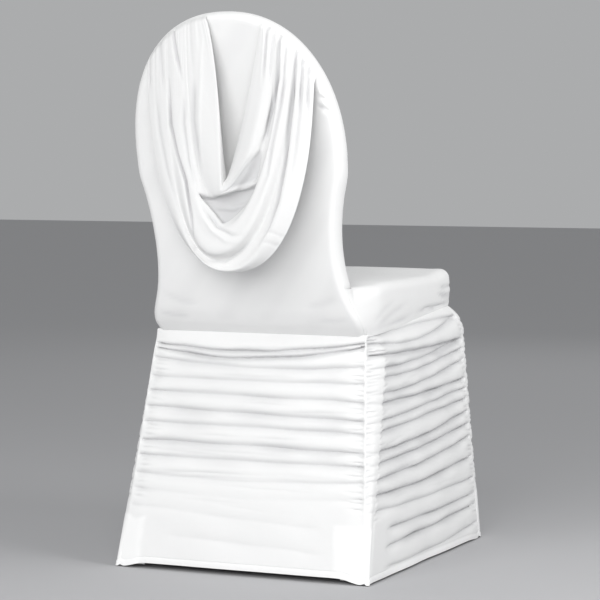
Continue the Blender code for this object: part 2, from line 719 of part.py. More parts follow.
def skirt_panel(panel, folds):
    """Gathered panel: rows of cells follow each fold's trough, flanks and crest."""
    plan = skirt_columns(panel, 0.5, 0.0)
    share, _ = column_shares(plan)
    count = len(share)
    top = cinch_height(skirt_columns(panel, 1.0, 1.0)[:, 1]) - CINCH_OPEN
    edge_gap = np.array([along_gap(panel, k, count) for k in range(count)])
    hem = hem_height(panel, share)
    rows = [(hem, np.full(count, -HEM_TURN)), (hem + HEM_HEIGHT, np.zeros(count))]
    heights = []
    depths = []
    for start, middle, end, depth, kept in folds:
        bow = start * (1 - share) + end * share + 4 * (middle - (start + end) / 2) * share * (1 - share)
        heights.append(bow)
        depths.append(depth * (1 + (kept - 1) * 4 * share * (1 - share)))
    heights.append(top)
    depths.append(np.zeros(count))
    for k in range(len(folds)):
        low = rows[-1][0]
        here, deep = heights[k], depths[k]
        span = here - low
        if k == 0:
            for up, kept in FOOT_SECTION:
                rows.append((low + span * up, -kept * deep))
        rows.append((here, -deep))
        gap = heights[k + 1] - here
        for up, kept in (REAR_SECTION if panel == "rear" else SIDE_SECTION):
            rows.append((here + gap * up, -kept * deep))
        if panel == "rear" and k < len(folds) - 1:
            up, kept = UNDER_TROUGH
            rows.append((here + gap * up, -kept * depths[k + 1]))
    rows.append((top, np.zeros(count)))
    patch = Patch()
    table = []
    for z_row, push_row in rows:
        points = []
        for c in range(count):
            z = float(z_row[c])
            cinch = float(top[c])
            level = z / cinch
            pull = float(np.clip((z - cinch + CINCH_PULL) / CINCH_PULL, 0.0, 1.0)) ** CINCH_POWER
            plan = skirt_columns(panel, min(level, 1.0), pull)
            tangent = plan[min(c + 1, count - 1)] - plan[max(c - 1, 0)]
            tangent /= np.linalg.norm(tangent)
            normal = np.array([tangent[1], -tangent[0]])
            if normal @ plan[c] < 0:
                normal = -normal
            push = float(push_row[c])
            if len(table) > 0 or c in (0, count - 1):
                push *= fold_share(panel, share[c], z, plan)
            where = plan[c] + normal * push + tangent * edge_gap[c]
            points.append([where[0], where[1], z])
        table.append(points)
    patch.grid(table)
    outward = {"rear": (0, 1, 0), "front": (0, -1, 0), "right": (-1, 0, 0), "left": (1, 0, 0)}
    cloth_piece("skirt_" + panel, patch, outward[panel])


def along_gap(panel, k, count):
    """Draws a panel's first and last columns in by half a seam."""
    first = SEAM / 2 if panel == "front" else SEAM_TURN
    last = SEAM_TURN if panel == "rear" else SEAM / 2
    if k == 0:
        return first
    if k == count - 1:
        return -last
    return 0.0


def fold_share(panel, share, z, plan):
    """Share of a fold's depth at a place: none at a seam, in the cinch's corners or over a pocket."""
    _, along = column_shares(plan)
    width = along[-1]
    here = share * width
    near = min(here, width - here)
    rise = float(ease(near / FOLD_RISE))
    if panel == "front":
        rise *= CORNER_SHARE + (1 - CORNER_SHARE) * float(ease((near - CORNER_FROM) / CORNER_RISE))
    zone = POCKET_ZONE
    if panel in ("right", "left") and here < width / 2:
        zone += POCKET_CALM
        rise *= LEG_SHARE + (1 - LEG_SHARE) * float(ease((here - along[LEG_COLUMN]) / LEG_RISE))
    low = 1.0 - float(ease((z - POCKET_HEIGHT) / POCKET_FADE_UP))
    close = 1.0 - float(ease((near - zone) / POCKET_FADE))
    rise *= 1.0 - low * close
    return rise


def hem_height(panel, share):
    """Height of the lower edge: it dips to the floor over each foot."""
    plan = skirt_columns(panel, 0.0, 0.0)
    _, along = column_shares(plan)
    near = np.minimum(along, along[-1] - along)
    if panel == "front":
        near = near - FRONT_ROUND - FRONT_WRAP
    lift = HEM_LIFT if panel in ("rear", "front") else HEM_LIFT * 0.5
    return HEM_LOW + lift * ease(near / HEM_FOOT)


def pocket_plan(corner, level):
    """Plan of a foot pocket: round the inside of one corner of the skirt."""
    seam = skirt_line("rear_seam", level, 0.0)
    leg = skirt_line("rear_leg", level, 0.0)
    front = skirt_line("front_leg", level, 0.0)
    if corner == "rear":
        along_rear = seam + np.array([-1.0, 0.0]) * POCKET_REACH
        run = front - leg
        along_side = leg + run / np.linalg.norm(run) * POCKET_REACH
        line = [along_rear, seam, leg, along_side]
    else:
        turn = FRONT_ROUND
        middle = front + np.array([-turn, turn])
        reach = POCKET_REACH * POCKET_FRONT_SHARE
        line = [front + np.array([0.0, turn + reach])]
        for degrees in (0.0, 30.0, 60.0, 90.0):
            angle = np.radians(degrees)
            line.append(middle + turn * np.array([np.cos(angle), -np.sin(angle)]))
        line.append(middle + np.array([-reach, -turn]))
    return resample(line, POCKET_POINTS)


def build_pocket(corner, side):
    """Doubled patch inside one lower corner, that grips a chair's foot."""
    patch = Patch()
    table = []
    for r in range(POCKET_ROWS):
        z = POCKET_BOTTOM + (POCKET_HEIGHT - POCKET_BOTTOM) * r / (POCKET_ROWS - 1)
        level = z / (CINCH_REAR if corner == "rear" else CINCH_FRONT)
        plan = pocket_plan(corner, level)
        points = []
        for k in range(len(plan)):
            tangent = plan[min(k + 1, len(plan) - 1)] - plan[max(k - 1, 0)]
            tangent /= np.linalg.norm(tangent)
            normal = np.array([tangent[1], -tangent[0]])
            if normal @ plan[k] > 0:
                normal = -normal
            where = plan[k] + normal * (CLEAR + POCKET_INSET)
            points.append([side * where[0], where[1], z])
        table.append(points)
    patch.grid(table)
    outward = (side, 1.0 if corner == "rear" else -1.0, 0)
    names = {1: "left", -1: "right"}
    cloth_piece("foot_pocket_" + corner + "_" + names[side], patch, outward, (0.93, 0.93, 0.92))


def swag_arc(x):
    """Height of the gathered line along the hood's upper edge at a distance from the middle."""
    half = CROWN_HALF - SWAG_INSET
    tall = HOOD_TOP - CROWN_BASE - SWAG_INSET
    part = np.clip(np.abs(x) / half, 0.0, 1.0)
    return CROWN_BASE + tall * (1 - part ** CROWN_POWER) ** (1 / CROWN_POWER)


def swag_row(values, share):
    """One line along the swag, from its left end down and up to its right end."""
    left_x, right_x, left_straight, right_straight, ends, half_way, low_x, low_y, low_z = values
    sides = []
    for end_x, straight in ((left_x, left_straight), (-right_x, right_straight)):
        end_z = float(swag_arc(end_x))
        end_y = float(rear_plane(end_z)) + CLEAR
        tau = np.linspace(0.0, np.pi / 2, 120)
        up = 1 - np.cos(tau) ** straight
        x = low_x + (end_x - low_x) * np.sin(tau) ** straight
        z = low_z + (end_z - low_z) * up
        rise = up ** SWAG_HANG
        y = SWAG_BELLY + (end_y - SWAG_BELLY) * rise
        y = y + (low_y - SWAG_BELLY) * (1 - up) ** SWAG_SETTLE
        y = y + half_way * np.sin(np.pi * rise) ** SWAG_BULGE
        y = y + ends * ease((up - ENDS_FROM) / ENDS_RISE)
        ripple = SWAG_PLEAT * (1 - np.cos(2 * np.pi * SWAG_PLEATS * share)) / 2
        y = y + ripple * ease((up - PLEATS_FROM) / PLEATS_RISE)
        sides.append(np.stack([x, y, z], axis=1))
    line = np.concatenate([sides[0][::-1], sides[1][1:]])
    return resample(line, SWAG_COLUMNS + 1)


def build_swag():
    """Draped swag: its rows run through the lines of the table, its columns from fold to fold."""
    lines = np.array(SWAG_LINES, float)
    low = lines[:, 6:9]
    steps = np.linalg.norm(np.diff(low, axis=0), axis=1) + np.abs(np.diff(lines[:, 0])) * 0.8
    along = np.concatenate([[0.0], np.cumsum(steps)])
    along /= along[-1]
    shares = [0.0]
    for k in range(len(along) - 1):
        shares.extend(np.linspace(along[k], along[k + 1], SWAG_STEPS + 1)[1:])
    patch = Patch()
    table = []
    for share in shares:
        values = [float(smooth(share, list(zip(along, lines[:, k])))) for k in range(lines.shape[1])]
        table.append(swag_row(values, share))
    patch.grid(table)
    cloth_piece("swag", patch, (0, 1, 0), (0.92, 0.92, 0.91), SWAG_CLOTH)


build_hood()
build_seat()
skirt_panel("rear", REAR_FOLDS)
skirt_panel("right", RIGHT_FOLDS)
skirt_panel("left", LEFT_FOLDS)
skirt_panel("front", FRONT_FOLDS)
for which in ("rear", "front"):
    for hand in (1, -1):
        build_pocket(which, hand)
build_swag()
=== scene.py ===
# Looks of a ruched stretch cover for a banquet chair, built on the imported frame.
# All sizes are in metres. The chair's front faces -Y, its back faces +Y and the floor is z = 0.
import bpy
import numpy as np
from mathutils import Matrix


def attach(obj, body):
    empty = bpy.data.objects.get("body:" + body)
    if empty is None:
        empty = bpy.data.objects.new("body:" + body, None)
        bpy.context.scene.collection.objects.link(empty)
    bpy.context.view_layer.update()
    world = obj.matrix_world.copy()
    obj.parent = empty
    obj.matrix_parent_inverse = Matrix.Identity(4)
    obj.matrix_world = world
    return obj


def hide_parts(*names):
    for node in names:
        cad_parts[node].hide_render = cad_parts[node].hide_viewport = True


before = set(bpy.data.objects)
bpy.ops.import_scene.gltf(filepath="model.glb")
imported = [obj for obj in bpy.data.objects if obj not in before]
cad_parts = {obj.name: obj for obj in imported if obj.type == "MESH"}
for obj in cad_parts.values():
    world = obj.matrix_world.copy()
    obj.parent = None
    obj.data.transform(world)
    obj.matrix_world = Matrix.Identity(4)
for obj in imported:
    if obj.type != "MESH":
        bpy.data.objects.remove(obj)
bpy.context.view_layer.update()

# Cloth: its thickness, the gap that stands for a seam, the gap to a sheet that lies underneath
CLOTH = 0.0013
SWAG_CLOTH = 0.0011
SEAM = 0.0001
CLEAR = 0.0022
# y of the footprint's centre in the sizes below, which is y = 0 in the frame
CENTRE_Y = 0.032
# Bends sharper than this, in radians, are cut edges of the cloth
RIM_ANGLE = 1.2

# Hood over the backrest, sized as in the solids; its seam lies at another angle round the edge
HOOD_DEPTH = 0.042
HOOD_EDGE = 0.014
HOOD_TOP = 0.93
HOOD_BOTTOM = 0.3992
HOOD_SEAM_ANGLE = 130.0
CROWN_HALF = 0.1885
CROWN_BASE = 0.7
CROWN_POWER = 2.2
# height, y
HOOD_REAR = (
    (0.398, 0.179), (0.406, 0.187), (0.418, 0.1975), (0.434, 0.207),
    (0.455, 0.215), (0.5, 0.23), (0.55, 0.243), (0.72, 0.275),
    (0.93, 0.324),
)
# height, half-width
HOOD_WIDTHS = (
    (0.398, 0.1915), (0.412, 0.1945), (0.425, 0.193), (0.445, 0.1865),
    (0.47, 0.1775), (0.5, 0.171), (0.545, 0.168), (0.59, 0.171),
    (0.63, 0.178), (0.665, 0.1865), (0.7, 0.1885),
)
HOOD_MEETS_SEAT = 0.48

# Seat, sized as in the solids
SEAT_HALF = 0.2
SEAT_FRONT = -0.2
SEAT_EDGE = 0.017
# y, height
SEAT_HEIGHTS = (
    (-0.2, 0.4915), (-0.178, 0.4915), (-0.14, 0.4868), (-0.11, 0.484),
    (-0.1, 0.484), (0.08, 0.484), (0.09, 0.484), (0.13, 0.481),
    (0.215, 0.479),
)

# Skirt, sized as in the solids except for the hem, the wrap at the front and the rounded strip
CINCH_REAR = 0.399
CINCH_FRONT = 0.426
CINCH_PULL = 0.042
CINCH_OPEN = 0.0006
HEM_LOW = 0.0002
HEM_LIFT = 0.0085
HEM_FOOT = 0.045
HEM_CORNER = 0.003
HEM_ROUND = 0.012
# name, x and y on the floor, x and y under the seat, x and y in the cinch
SKIRT_LINES = {
    "rear_seam": (0.226, 0.26, 0.194, 0.178, 0.194, 0.178),
    "rear_leg": (0.231, 0.252, 0.2115, 0.127, 0.197, 0.14),
    "front_leg": (0.232, -0.279, 0.215, -0.226, 0.1995, -0.1995),
}
FRONT_ROUND = 0.02
FRONT_WRAP = 0.003
LEG_BEVEL = 0.004
REAR_SWELL = 0.012
STRIP_SWELL = 0.0045

# Troughs of the skirt's folds, a row per trough: height at the first seam, in the middle and at the
# last seam, depth, share of the depth that is kept in the middle
REAR_FOLDS = (
    (0.06, 0.052, 0.04, 0.0016, 1.0),
    (0.104, 0.092, 0.08, 0.0014, 0.9),
    (0.133, 0.126, 0.137, 0.0022, 0.3),
    (0.158, 0.154, 0.163, 0.004, 0.5),
    (0.188, 0.187, 0.188, 0.006, 0.8),
    (0.213, 0.212, 0.209, 0.007, 1.0),
    (0.243, 0.243, 0.24, 0.0058, 0.8),
    (0.27, 0.265, 0.261, 0.0066, 1.0),
    (0.296, 0.294, 0.291, 0.0058, 0.9),
    (0.321, 0.319, 0.322, 0.005, 0.8),
    (0.353, 0.341, 0.349, 0.006, 0.9),
    (0.369, 0.357, 0.383, 0.01, 1.0),
    (0.377, 0.369, 0.3885, 0.009, 1.0),
)
RIGHT_FOLDS = (
    (0.024, 0.016, 0.031, 0.003, 1.0),
    (0.052, 0.053, 0.064, 0.005, 1.2),
    (0.084, 0.078, 0.083, 0.0046, 1.1),
    (0.116, 0.109, 0.113, 0.004, 0.7),
    (0.142, 0.137, 0.153, 0.0064, 1.0),
    (0.165, 0.168, 0.189, 0.006, 0.9),
    (0.189, 0.194, 0.212, 0.006, 1.0),
    (0.21, 0.213, 0.236, 0.0066, 1.0),
    (0.239, 0.246, 0.258, 0.0056, 0.9),
    (0.257, 0.264, 0.278, 0.005, 0.9),
    (0.288, 0.286, 0.295, 0.0066, 1.0),
    (0.303, 0.306, 0.33, 0.0056, 0.9),
    (0.329, 0.33, 0.35, 0.0054, 0.8),
    (0.345, 0.3465, 0.365, 0.006, 0.8),
    (0.367, 0.362, 0.367, 0.007, 0.9),
    (0.386, 0.381, 0.409, 0.005, 0.8),
    (0.3955, 0.404, 0.4085, 0.004, 0.9),
)
LEFT_FOLDS = (
    (0.028, 0.02, 0.027, 0.0028, 1.0),
    (0.055, 0.058, 0.06, 0.0046, 1.1),
    (0.086, 0.083, 0.088, 0.005, 1.0),
    (0.119, 0.113, 0.117, 0.0044, 0.8),
    (0.146, 0.142, 0.149, 0.0062, 1.0),
    (0.171, 0.172, 0.183, 0.0056, 0.9),
    (0.193, 0.198, 0.209, 0.0064, 1.0),
    (0.216, 0.219, 0.233, 0.0058, 1.0),
    (0.243, 0.243, 0.256, 0.0062, 0.9),
    (0.263, 0.267, 0.281, 0.005, 1.0),
    (0.289, 0.291, 0.301, 0.0064, 0.9),
    (0.311, 0.312, 0.326, 0.0054, 0.9),
    (0.333, 0.334, 0.348, 0.0052, 0.8),
    (0.354, 0.353, 0.37, 0.006, 0.9),
    (0.373, 0.375, 0.389, 0.0062, 0.9),
    (0.388, 0.393, 0.409, 0.005, 0.8),
)
FRONT_FOLDS = (
    (0.05, 0.058, 0.052, 0.0018, 0.9),
    (0.102, 0.094, 0.104, 0.0024, 0.6),
    (0.146, 0.14, 0.143, 0.004, 0.7),
    (0.181, 0.174, 0.178, 0.0058, 0.9),
    (0.214, 0.209, 0.213, 0.006, 1.0),
    (0.246, 0.239, 0.243, 0.0064, 0.9),
    (0.278, 0.272, 0.276, 0.0058, 1.0),
    (0.31, 0.302, 0.309, 0.0062, 0.9),
    (0.343, 0.334, 0.341, 0.0058, 0.9),
    (0.374, 0.363, 0.372, 0.0066, 1.0),
    (0.399, 0.389, 0.398, 0.0066, 1.0),
)

# Foot pockets
POCKET_HEIGHT = 0.086
POCKET_BOTTOM = 0.006
POCKET_REACH = 0.045
POCKET_INSET = 0.0016

# Swag, sized as in the solids; its ends reach further out, to the hood's seam
SWAG_INSET = 0.0055
SWAG_HANG = 0.8
SWAG_BELLY = 0.322
SWAG_SETTLE = 2.5
SWAG_LEFT_SETTLE = 4.5
# Mean stand-off of the folds and how much they differ from it on the left, which lies smoother
SWAG_STAND = 0.003
SWAG_LEFT = 0.25
# x of the left end, x of the right end, how straight the two halves are, stand-off of the ends,
# stand-off half way, x, y and z of the low point
SWAG_LINES = (
    (0.027, 0.072, 3.2, 1.65, 0.0015, 0.0, -0.002, 0.306, 0.659),
    (0.029, 0.075, 2.9, 1.35, 0.003, 0.002, -0.003, 0.32, 0.653),
    (0.032, 0.0794, 2.6, 1.11, 0.0045, 0.004, -0.003, 0.327, 0.644),
    (0.045, 0.087, 1.4, 0.95, 0.004, 0.004, 0.004, 0.323, 0.633),
    (0.058, 0.095, 0.92, 0.88, 0.0025, 0.002, 0.008, 0.315, 0.626),
    (0.06, 0.0975, 0.87, 0.95, 0.0025, 0.001, 0.001, 0.313, 0.611),
    (0.062, 0.1, 0.89, 1.04, 0.0025, 0.001, -0.003, 0.315, 0.598),
    (0.065, 0.104, 0.84, 1.04, 0.0035, 0.002, -0.0053, 0.325, 0.588),
    (0.069, 0.107, 0.89, 1.03, 0.005, 0.005, -0.003, 0.333, 0.578),
    (0.075, 0.111, 0.86, 1.0, 0.005, 0.006, 0.001, 0.335, 0.562),
    (0.086, 0.117, 0.83, 0.97, 0.005, 0.006, 0.004, 0.335, 0.54),
    (0.0964, 0.125, 0.8, 0.94, 0.003, 0.004, 0.004, 0.319, 0.529),
    (0.102, 0.128, 0.82, 0.94, 0.0035, 0.005, -0.004, 0.323, 0.52),
    (0.1141, 0.135, 0.86, 0.93, 0.005, 0.008, -0.0115, 0.329, 0.5126),
    (0.137, 0.158, 0.94, 0.84, 0.0035, 0.005, -0.01, 0.312, 0.5092),
)


# Helpers

def smooth(x, table):
    """Smooth curve through the rows (place, value) of a short table."""
    knots = np.array([row[0] for row in table], float)
    values = np.array([row[1] for row in table], float)
    slopes = np.gradient(values, knots)
    x = np.clip(np.asarray(x, float), knots[0], knots[-1])
    i = np.clip(np.searchsorted(knots, x) - 1, 0, len(knots) - 2)
    width = knots[i + 1] - knots[i]
    t = (x - knots[i]) / width
    start = (2 * t ** 3 - 3 * t ** 2 + 1) * values[i] + (t ** 3 - 2 * t ** 2 + t) * width * slopes[i]
    end = (3 * t ** 2 - 2 * t ** 3) * values[i + 1] + (t ** 3 - t ** 2) * width * slopes[i + 1]
    return start + end


def ease(t):
    """0 to 1 with soft ends."""
    t = np.clip(t, 0.0, 1.0)
    return t * t * (3 - 2 * t)


def wander(x, seed, length):
    """Smooth uneven curve, about -1 to 1, with waves near a given length."""
    draw = np.random.default_rng(seed)
    total = 0.0
    for _ in range(4):
        turn = 2 * np.pi / (length * draw.uniform(0.6, 1.7))
        total = total + draw.uniform(0.5, 1.0) * np.sin(turn * x + draw.uniform(0, 2 * np.pi))
    return total / 2.2


def distances(line):
    """How far along a polyline each of its points lies."""
    steps = np.linalg.norm(np.diff(line, axis=0), axis=1)
    return np.concatenate([[0.0], np.cumsum(steps)])


def points_at(line, along, wanted):
    """Points of a polyline at wanted distances along it."""
    return np.stack([np.interp(wanted, along, line[:, k]) for k in range(line.shape[1])], axis=1)


def resample(line, count):
    """Points at even distances along a polyline."""
    line = np.asarray(line, float)
    along = distances(line)
    return points_at(line, along, np.linspace(0.0, along[-1], count))


def unit(vectors):
    """Vectors of length 1 in the same directions."""
    return vectors / np.linalg.norm(vectors, axis=-1, keepdims=True)


def to_right(run):
    """Directions in a plane, turned to the right by a quarter turn."""
    return np.stack([run[..., 1], -run[..., 0]], axis=-1)


def grid_normals(grid, outward):
    """Unit normals of a grid of points, turned to face outward."""
    normals = np.cross(np.gradient(grid, axis=1), np.gradient(grid, axis=0))
    length = np.linalg.norm(normals, axis=2, keepdims=True)
    length[length < 1e-12] = 1.0
    normals = normals / length
    return -normals if np.sum(normals @ np.asarray(outward, float)) < 0 else normals


def to_segment(flat, start, run):
    """For each place, the share along a straight piece of its nearest point, and the distance to it."""
    t = np.clip(((flat - start) @ run) / (run @ run), 0, 1)
    return t, np.linalg.norm(flat - start - t[..., None] * run, axis=-1)


def crease(flat, rows):
    """Push at flat places from creases: each row is (depth, width, points); depth below 0 is a ridge."""
    push = np.zeros(flat.shape[:-1])
    for depth, width, points in rows:
        points = np.asarray(points, float)
        steps = np.linalg.norm(np.diff(points, axis=0), axis=1)
        starts = np.concatenate([[0.0], np.cumsum(steps)])
        best = np.full(flat.shape[:-1], 1e9)
        place = np.zeros(flat.shape[:-1])
        for k in range(len(points) - 1):
            t, gap = to_segment(flat, points[k], points[k + 1] - points[k])
            nearer = gap < best
            best = np.where(nearer, gap, best)
            place = np.where(nearer, (starts[k] + t * steps[k]) / starts[-1], place)
        fade = ease(place / 0.25) * ease((1 - place) / 0.35) * 0.9 + 0.1
        push -= depth * fade * np.exp(-(best / width) ** 2)
    return push


def hollow(flat, rows):
    """Push at flat places from hollows: each row is (depth, width of the soft border, outline)."""
    push = np.zeros(flat.shape[:-1])
    for depth, border, outline in rows:
        outline = np.asarray(outline, float)
        best = np.full(flat.shape[:-1], 1e9)
        inside = np.zeros(flat.shape[:-1], bool)
        for start, end in zip(outline, np.roll(outline, -1, axis=0)):
            run = end - start
            best = np.minimum(best, to_segment(flat, start, run)[1])
            beside = (start[1] > flat[..., 1]) != (end[1] > flat[..., 1])
            edge_x = start[0] + (flat[..., 1] - start[1]) * run[0] / run[1]
            inside ^= beside & (flat[..., 0] < edge_x)
        push -= depth * ease(best / border) * inside
    return push


def shade_marks(push, full, most):
    """Marks of a surface's points: how much painted shade darkens its troughs, and how much doubled cloth
    shows (none).
    """
    marks = np.zeros(push.shape + (2,))
    marks[..., 0] = np.clip(-push / full, 0, most)
    return marks


class Patch:
    """Vertices and faces of one surface, with vertices at the same place joined."""

    def __init__(self):
        self.points = []
        self.faces = []
        self.marks = []
        self.found = {}

    def vertex(self, point, mark):
        key = (round(point[0] * 1e6), round(point[1] * 1e6), round(point[2] * 1e6))
        if key not in self.found:
            self.found[key] = len(self.points)
            self.points.append(point)
            self.marks.append(mark)
        return self.found[key]

    def grid(self, table, marks=None, keep=None):
        """Adds cells between neighbouring points of a grid of points."""
        table = np.asarray(table, float)
        rows, columns = table.shape[:2]
        if marks is None:
            marks = np.zeros((rows, columns, 2))
        points = table.tolist()
        marks = np.asarray(marks, float).tolist()
        ids = [[self.vertex(points[r][c], marks[r][c]) for c in range(columns)] for r in range(rows)]
        for r in range(rows - 1):
            for c in range(columns - 1):
                if keep is not None and not keep(r, c):
                    continue
                self.faces.append((ids[r][c], ids[r][c + 1], ids[r + 1][c + 1], ids[r + 1][c]))


def piece(name, patch, outward, node, material, thickness=CLOTH):
    """A thin closed sheet on a surface, in place of a solid."""
    points = np.array(patch.points, float)
    points[:, 1] -= CENTRE_Y
    mesh = bpy.data.meshes.new(name)
    mesh.from_pydata(points.tolist(), [], patch.faces)
    mesh.update()
    normals = np.zeros(len(mesh.polygons) * 3)
    mesh.polygons.foreach_get("normal", normals)
    areas = np.zeros(len(mesh.polygons))
    mesh.polygons.foreach_get("area", areas)
    if np.sum((normals.reshape(-1, 3) @ np.asarray(outward, float)) * areas) < 0:
        mesh.flip_normals()
    # Point marks: depth is the painted shade in the troughs, light is how much doubled cloth shows
    marks = np.array(patch.marks, float)
    for k, label in enumerate(("depth", "light")):
        layer = mesh.attributes.new(label, "FLOAT", "POINT")
        layer.data.foreach_set("value", marks[:, k].astype(np.float32))
    made = bpy.data.objects.new(name, mesh)
    bpy.context.collection.objects.link(made)
    for polygon in mesh.polygons:
        polygon.use_smooth = True
    sheet = made.modifiers.new("thickness", "SOLIDIFY")
    sheet.thickness = thickness
    sheet.offset = 0.0
    sheet.use_rim = True
    sheet.use_even_offset = False
    made.data.materials.append(material)
    bpy.context.view_layer.update()
    graph = bpy.context.evaluated_depsgraph_get()
    solid = made.evaluated_get(graph)
    made.data = bpy.data.meshes.new_from_object(solid, preserve_all_data_layers=True, depsgraph=graph)
    made.modifiers.clear()
    made.data.set_sharp_from_angle(angle=RIM_ANGLE)
    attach(made, "root")
    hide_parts(node)
    return made


# Materials

def set_inputs(tree, node, values, joins):
    """Sets a node's inputs to values, or joins them to the outputs of other nodes."""
    for name, value in values.items():
        node.inputs[name].default_value = value
    for name, source in joins.items():
        tree.links.new(source, node.inputs[name])


def add_node(tree, kind, values, joins):
    node = tree.nodes.new("ShaderNode" + kind)
    if kind == "Mix":
        node.data_type = "RGBA"
    set_inputs(tree, node, values, joins)
    return node


def mark(tree, name):
    """A mark that is stored on the cloth's points."""
    node = add_node(tree, "Attribute", {}, {})
    node.attribute_name = name
    return node.outputs["Fac"]


def noise(tree, place, scale, detail):
    node = add_node(tree, "TexNoise", {"Scale": scale, "Detail": detail}, {"Vector": place})
    return node.outputs["Fac"]


def ribs(tree, place):
    """Fine level ribs of the knit."""
    values = {"Scale": 330.0, "Distortion": 2.2, "Detail": 2.0, "Detail Scale": 3.0}
    node = add_node(tree, "TexWave", values, {"Vector": place})
    node.wave_type = "BANDS"
    node.bands_direction = "Z"
    return node.outputs["Fac"]


def relief(tree, layers):
    """Bumps one over the other, each with its height, strength and distance."""
    joins = {}
    for height, strength, distance in layers:
        joins["Height"] = height
        node = add_node(tree, "Bump", {"Strength": strength, "Distance": distance}, joins)
        joins = {"Normal": node.outputs["Normal"]}
    return node.outputs["Normal"]


def new_material(name):
    made = bpy.data.materials.new(name)
    made.use_nodes = True
    return made, made.node_tree, made.node_tree.nodes["Principled BSDF"]


def cloth_material(name, colour, shade, patch_colour):
    """White stretch knit: fine ribs, soft sheen, faint unevenness, painted shade in the troughs."""
    made, tree, shader = new_material(name)
    place = add_node(tree, "TexCoord", {}, {}).outputs["Object"]
    cloud = noise(tree, place, 9.0, 4.0)
    duller = [c * 0.955 for c in colour]
    tone = add_node(tree, "Mix", {"A": (*colour, 1.0), "B": (*duller, 1.0)}, {"Factor": cloud})
    # The depth mark blends in the shade colour: painted shade in the folds' troughs
    joins = {"Factor": mark(tree, "depth"), "A": tone.outputs["Result"]}
    shaded = add_node(tree, "Mix", {"B": (*shade, 1.0)}, joins)
    joins = {"Factor": mark(tree, "light"), "A": shaded.outputs["Result"]}
    double = add_node(tree, "Mix", {"B": (*patch_colour, 1.0)}, joins)
    rough = add_node(tree, "MapRange", {"To Min": 0.74, "To Max": 0.92}, {"Value": cloud})
    surface = relief(tree, (
        (ribs(tree, place), 0.22, 0.0003),
        (noise(tree, place, 900.0, 3.0), 0.3, 0.0004),
        (noise(tree, place, 42.0, 3.0), 0.25, 0.0016),
    ))
    values = {"Metallic": 0.0, "IOR": 1.45, "Sheen Weight": 0.18, "Sheen Roughness": 0.45,
              "Sheen Tint": (1.0, 1.0, 1.0, 1.0), "Specular IOR Level": 0.25}
    joins = {"Base Color": double.outputs["Result"], "Roughness": rough.outputs["Result"],
             "Normal": surface}
    set_inputs(tree, shader, values, joins)
    return made


# Colours of the cloth, of the painted shade in its troughs and of doubled cloth
cover_cloth = cloth_material("cover_cloth", (0.88, 0.88, 0.875), (0.58, 0.58, 0.59), (0.95, 0.95, 0.945))
swag_cloth = cloth_material("swag_cloth", (0.83, 0.83, 0.825), (0.53, 0.53, 0.54), (0.92, 0.92, 0.915))


# Hood

# How many points the outline has on its side and crown, and on half its length once spaced evenly
OUTLINE_SIDE = 160
OUTLINE_CROWN = 240
OUTLINE_HALF = 401
# Cells up each side and across, and the distance along the outline from its top to a grid corner
HOOD_SIDE = 90
HOOD_ACROSS = 60
HOOD_CORNER = 0.15
# How far in from the outline each panel's face ends, as a share of the edge's radius
FACE_INSET = 1.35
# Degrees round the edge of each panel's rows, 0 at the front face and 180 at the rear one
REAR_TURNS = (176.0, 170.0, 163.0, 156.0, 149.0, 142.0, 137.0, 133.5)
FRONT_TURNS = (4.0, 12.0, 22.0, 34.0, 46.0, 58.0, 70.0, 82.0, 94.0, 106.0, 116.0, 124.0)
# How much of the edge's creases each row of the rear panel takes
REAR_TAPER = (0.0, 1.0, 1.0, 1.0, 0.9, 0.7, 0.4, 0.15, 0.0, 0.0)
# How far both panels sink at their seam, and how far the rear one is set forward there
SEAM_SINK = 0.0002
SEAM_STEP = 0.0001
# How far the foot of the front panel's edge turns in
HOOD_LIP = 0.003
# How far that panel is tucked down and in near the seat's sides, from which x on, over what
# distance, and how many degrees past the place where the seat's side leaves it
HOOD_TUCK = 0.0045
HOOD_TUCK_IN = 0.0016
HOOD_TUCK_FROM = 0.105
HOOD_TUCK_OVER = 0.03
HOOD_TUCK_PAST = 7.0
# Creases over the rounded edge, in x and z: depth, width, points
EDGE_CREASES = (
    (0.005, 0.0028, ((-0.159, 0.807), (-0.169, 0.8045), (-0.18, 0.8))),
    (0.0054, 0.0028, ((-0.1595, 0.792), (-0.17, 0.788), (-0.181, 0.782))),
    (0.005, 0.003, ((-0.159, 0.778), (-0.17, 0.772), (-0.18, 0.766))),
    (-0.0032, 0.0028, ((-0.159, 0.799), (-0.168, 0.7965), (-0.178, 0.792))),
    (-0.0032, 0.0028, ((-0.159, 0.785), (-0.169, 0.78), (-0.179, 0.774))),
)
# Creases of the rear face
REAR_CREASES = (
    (0.0012, 0.004, ((0.178, 0.434), (0.15, 0.428), (0.11, 0.425))),
    (0.001, 0.004, ((-0.178, 0.43), (-0.15, 0.426), (-0.112, 0.424))),
    (0.0008, 0.006, ((0.165, 0.47), (0.13, 0.452), (0.085, 0.446))),
    (0.0007, 0.006, ((-0.165, 0.468), (-0.128, 0.452), (-0.09, 0.447))),
    (-0.0007, 0.008, ((0.12, 0.414), (0.0, 0.411), (-0.12, 0.414))),
    *EDGE_CREASES,
    (0.0006, 0.01, ((0.02, 0.9), (0.012, 0.8), (0.004, 0.7))),
)
# Creases of the front face
FRONT_CREASES = (
    (0.0014, 0.005, ((0.15, 0.505), (0.11, 0.515), (0.06, 0.512))),
    (0.0014, 0.005, ((-0.15, 0.503), (-0.105, 0.512), (-0.055, 0.511))),
    (0.001, 0.007, ((0.145, 0.545), (0.1, 0.56), (0.045, 0.558))),
    (0.001, 0.007, ((-0.145, 0.548), (-0.095, 0.56), (-0.05, 0.556))),
)


def rear_plane(z):
    """y of the hood's rear face."""
    return smooth(z, HOOD_REAR)


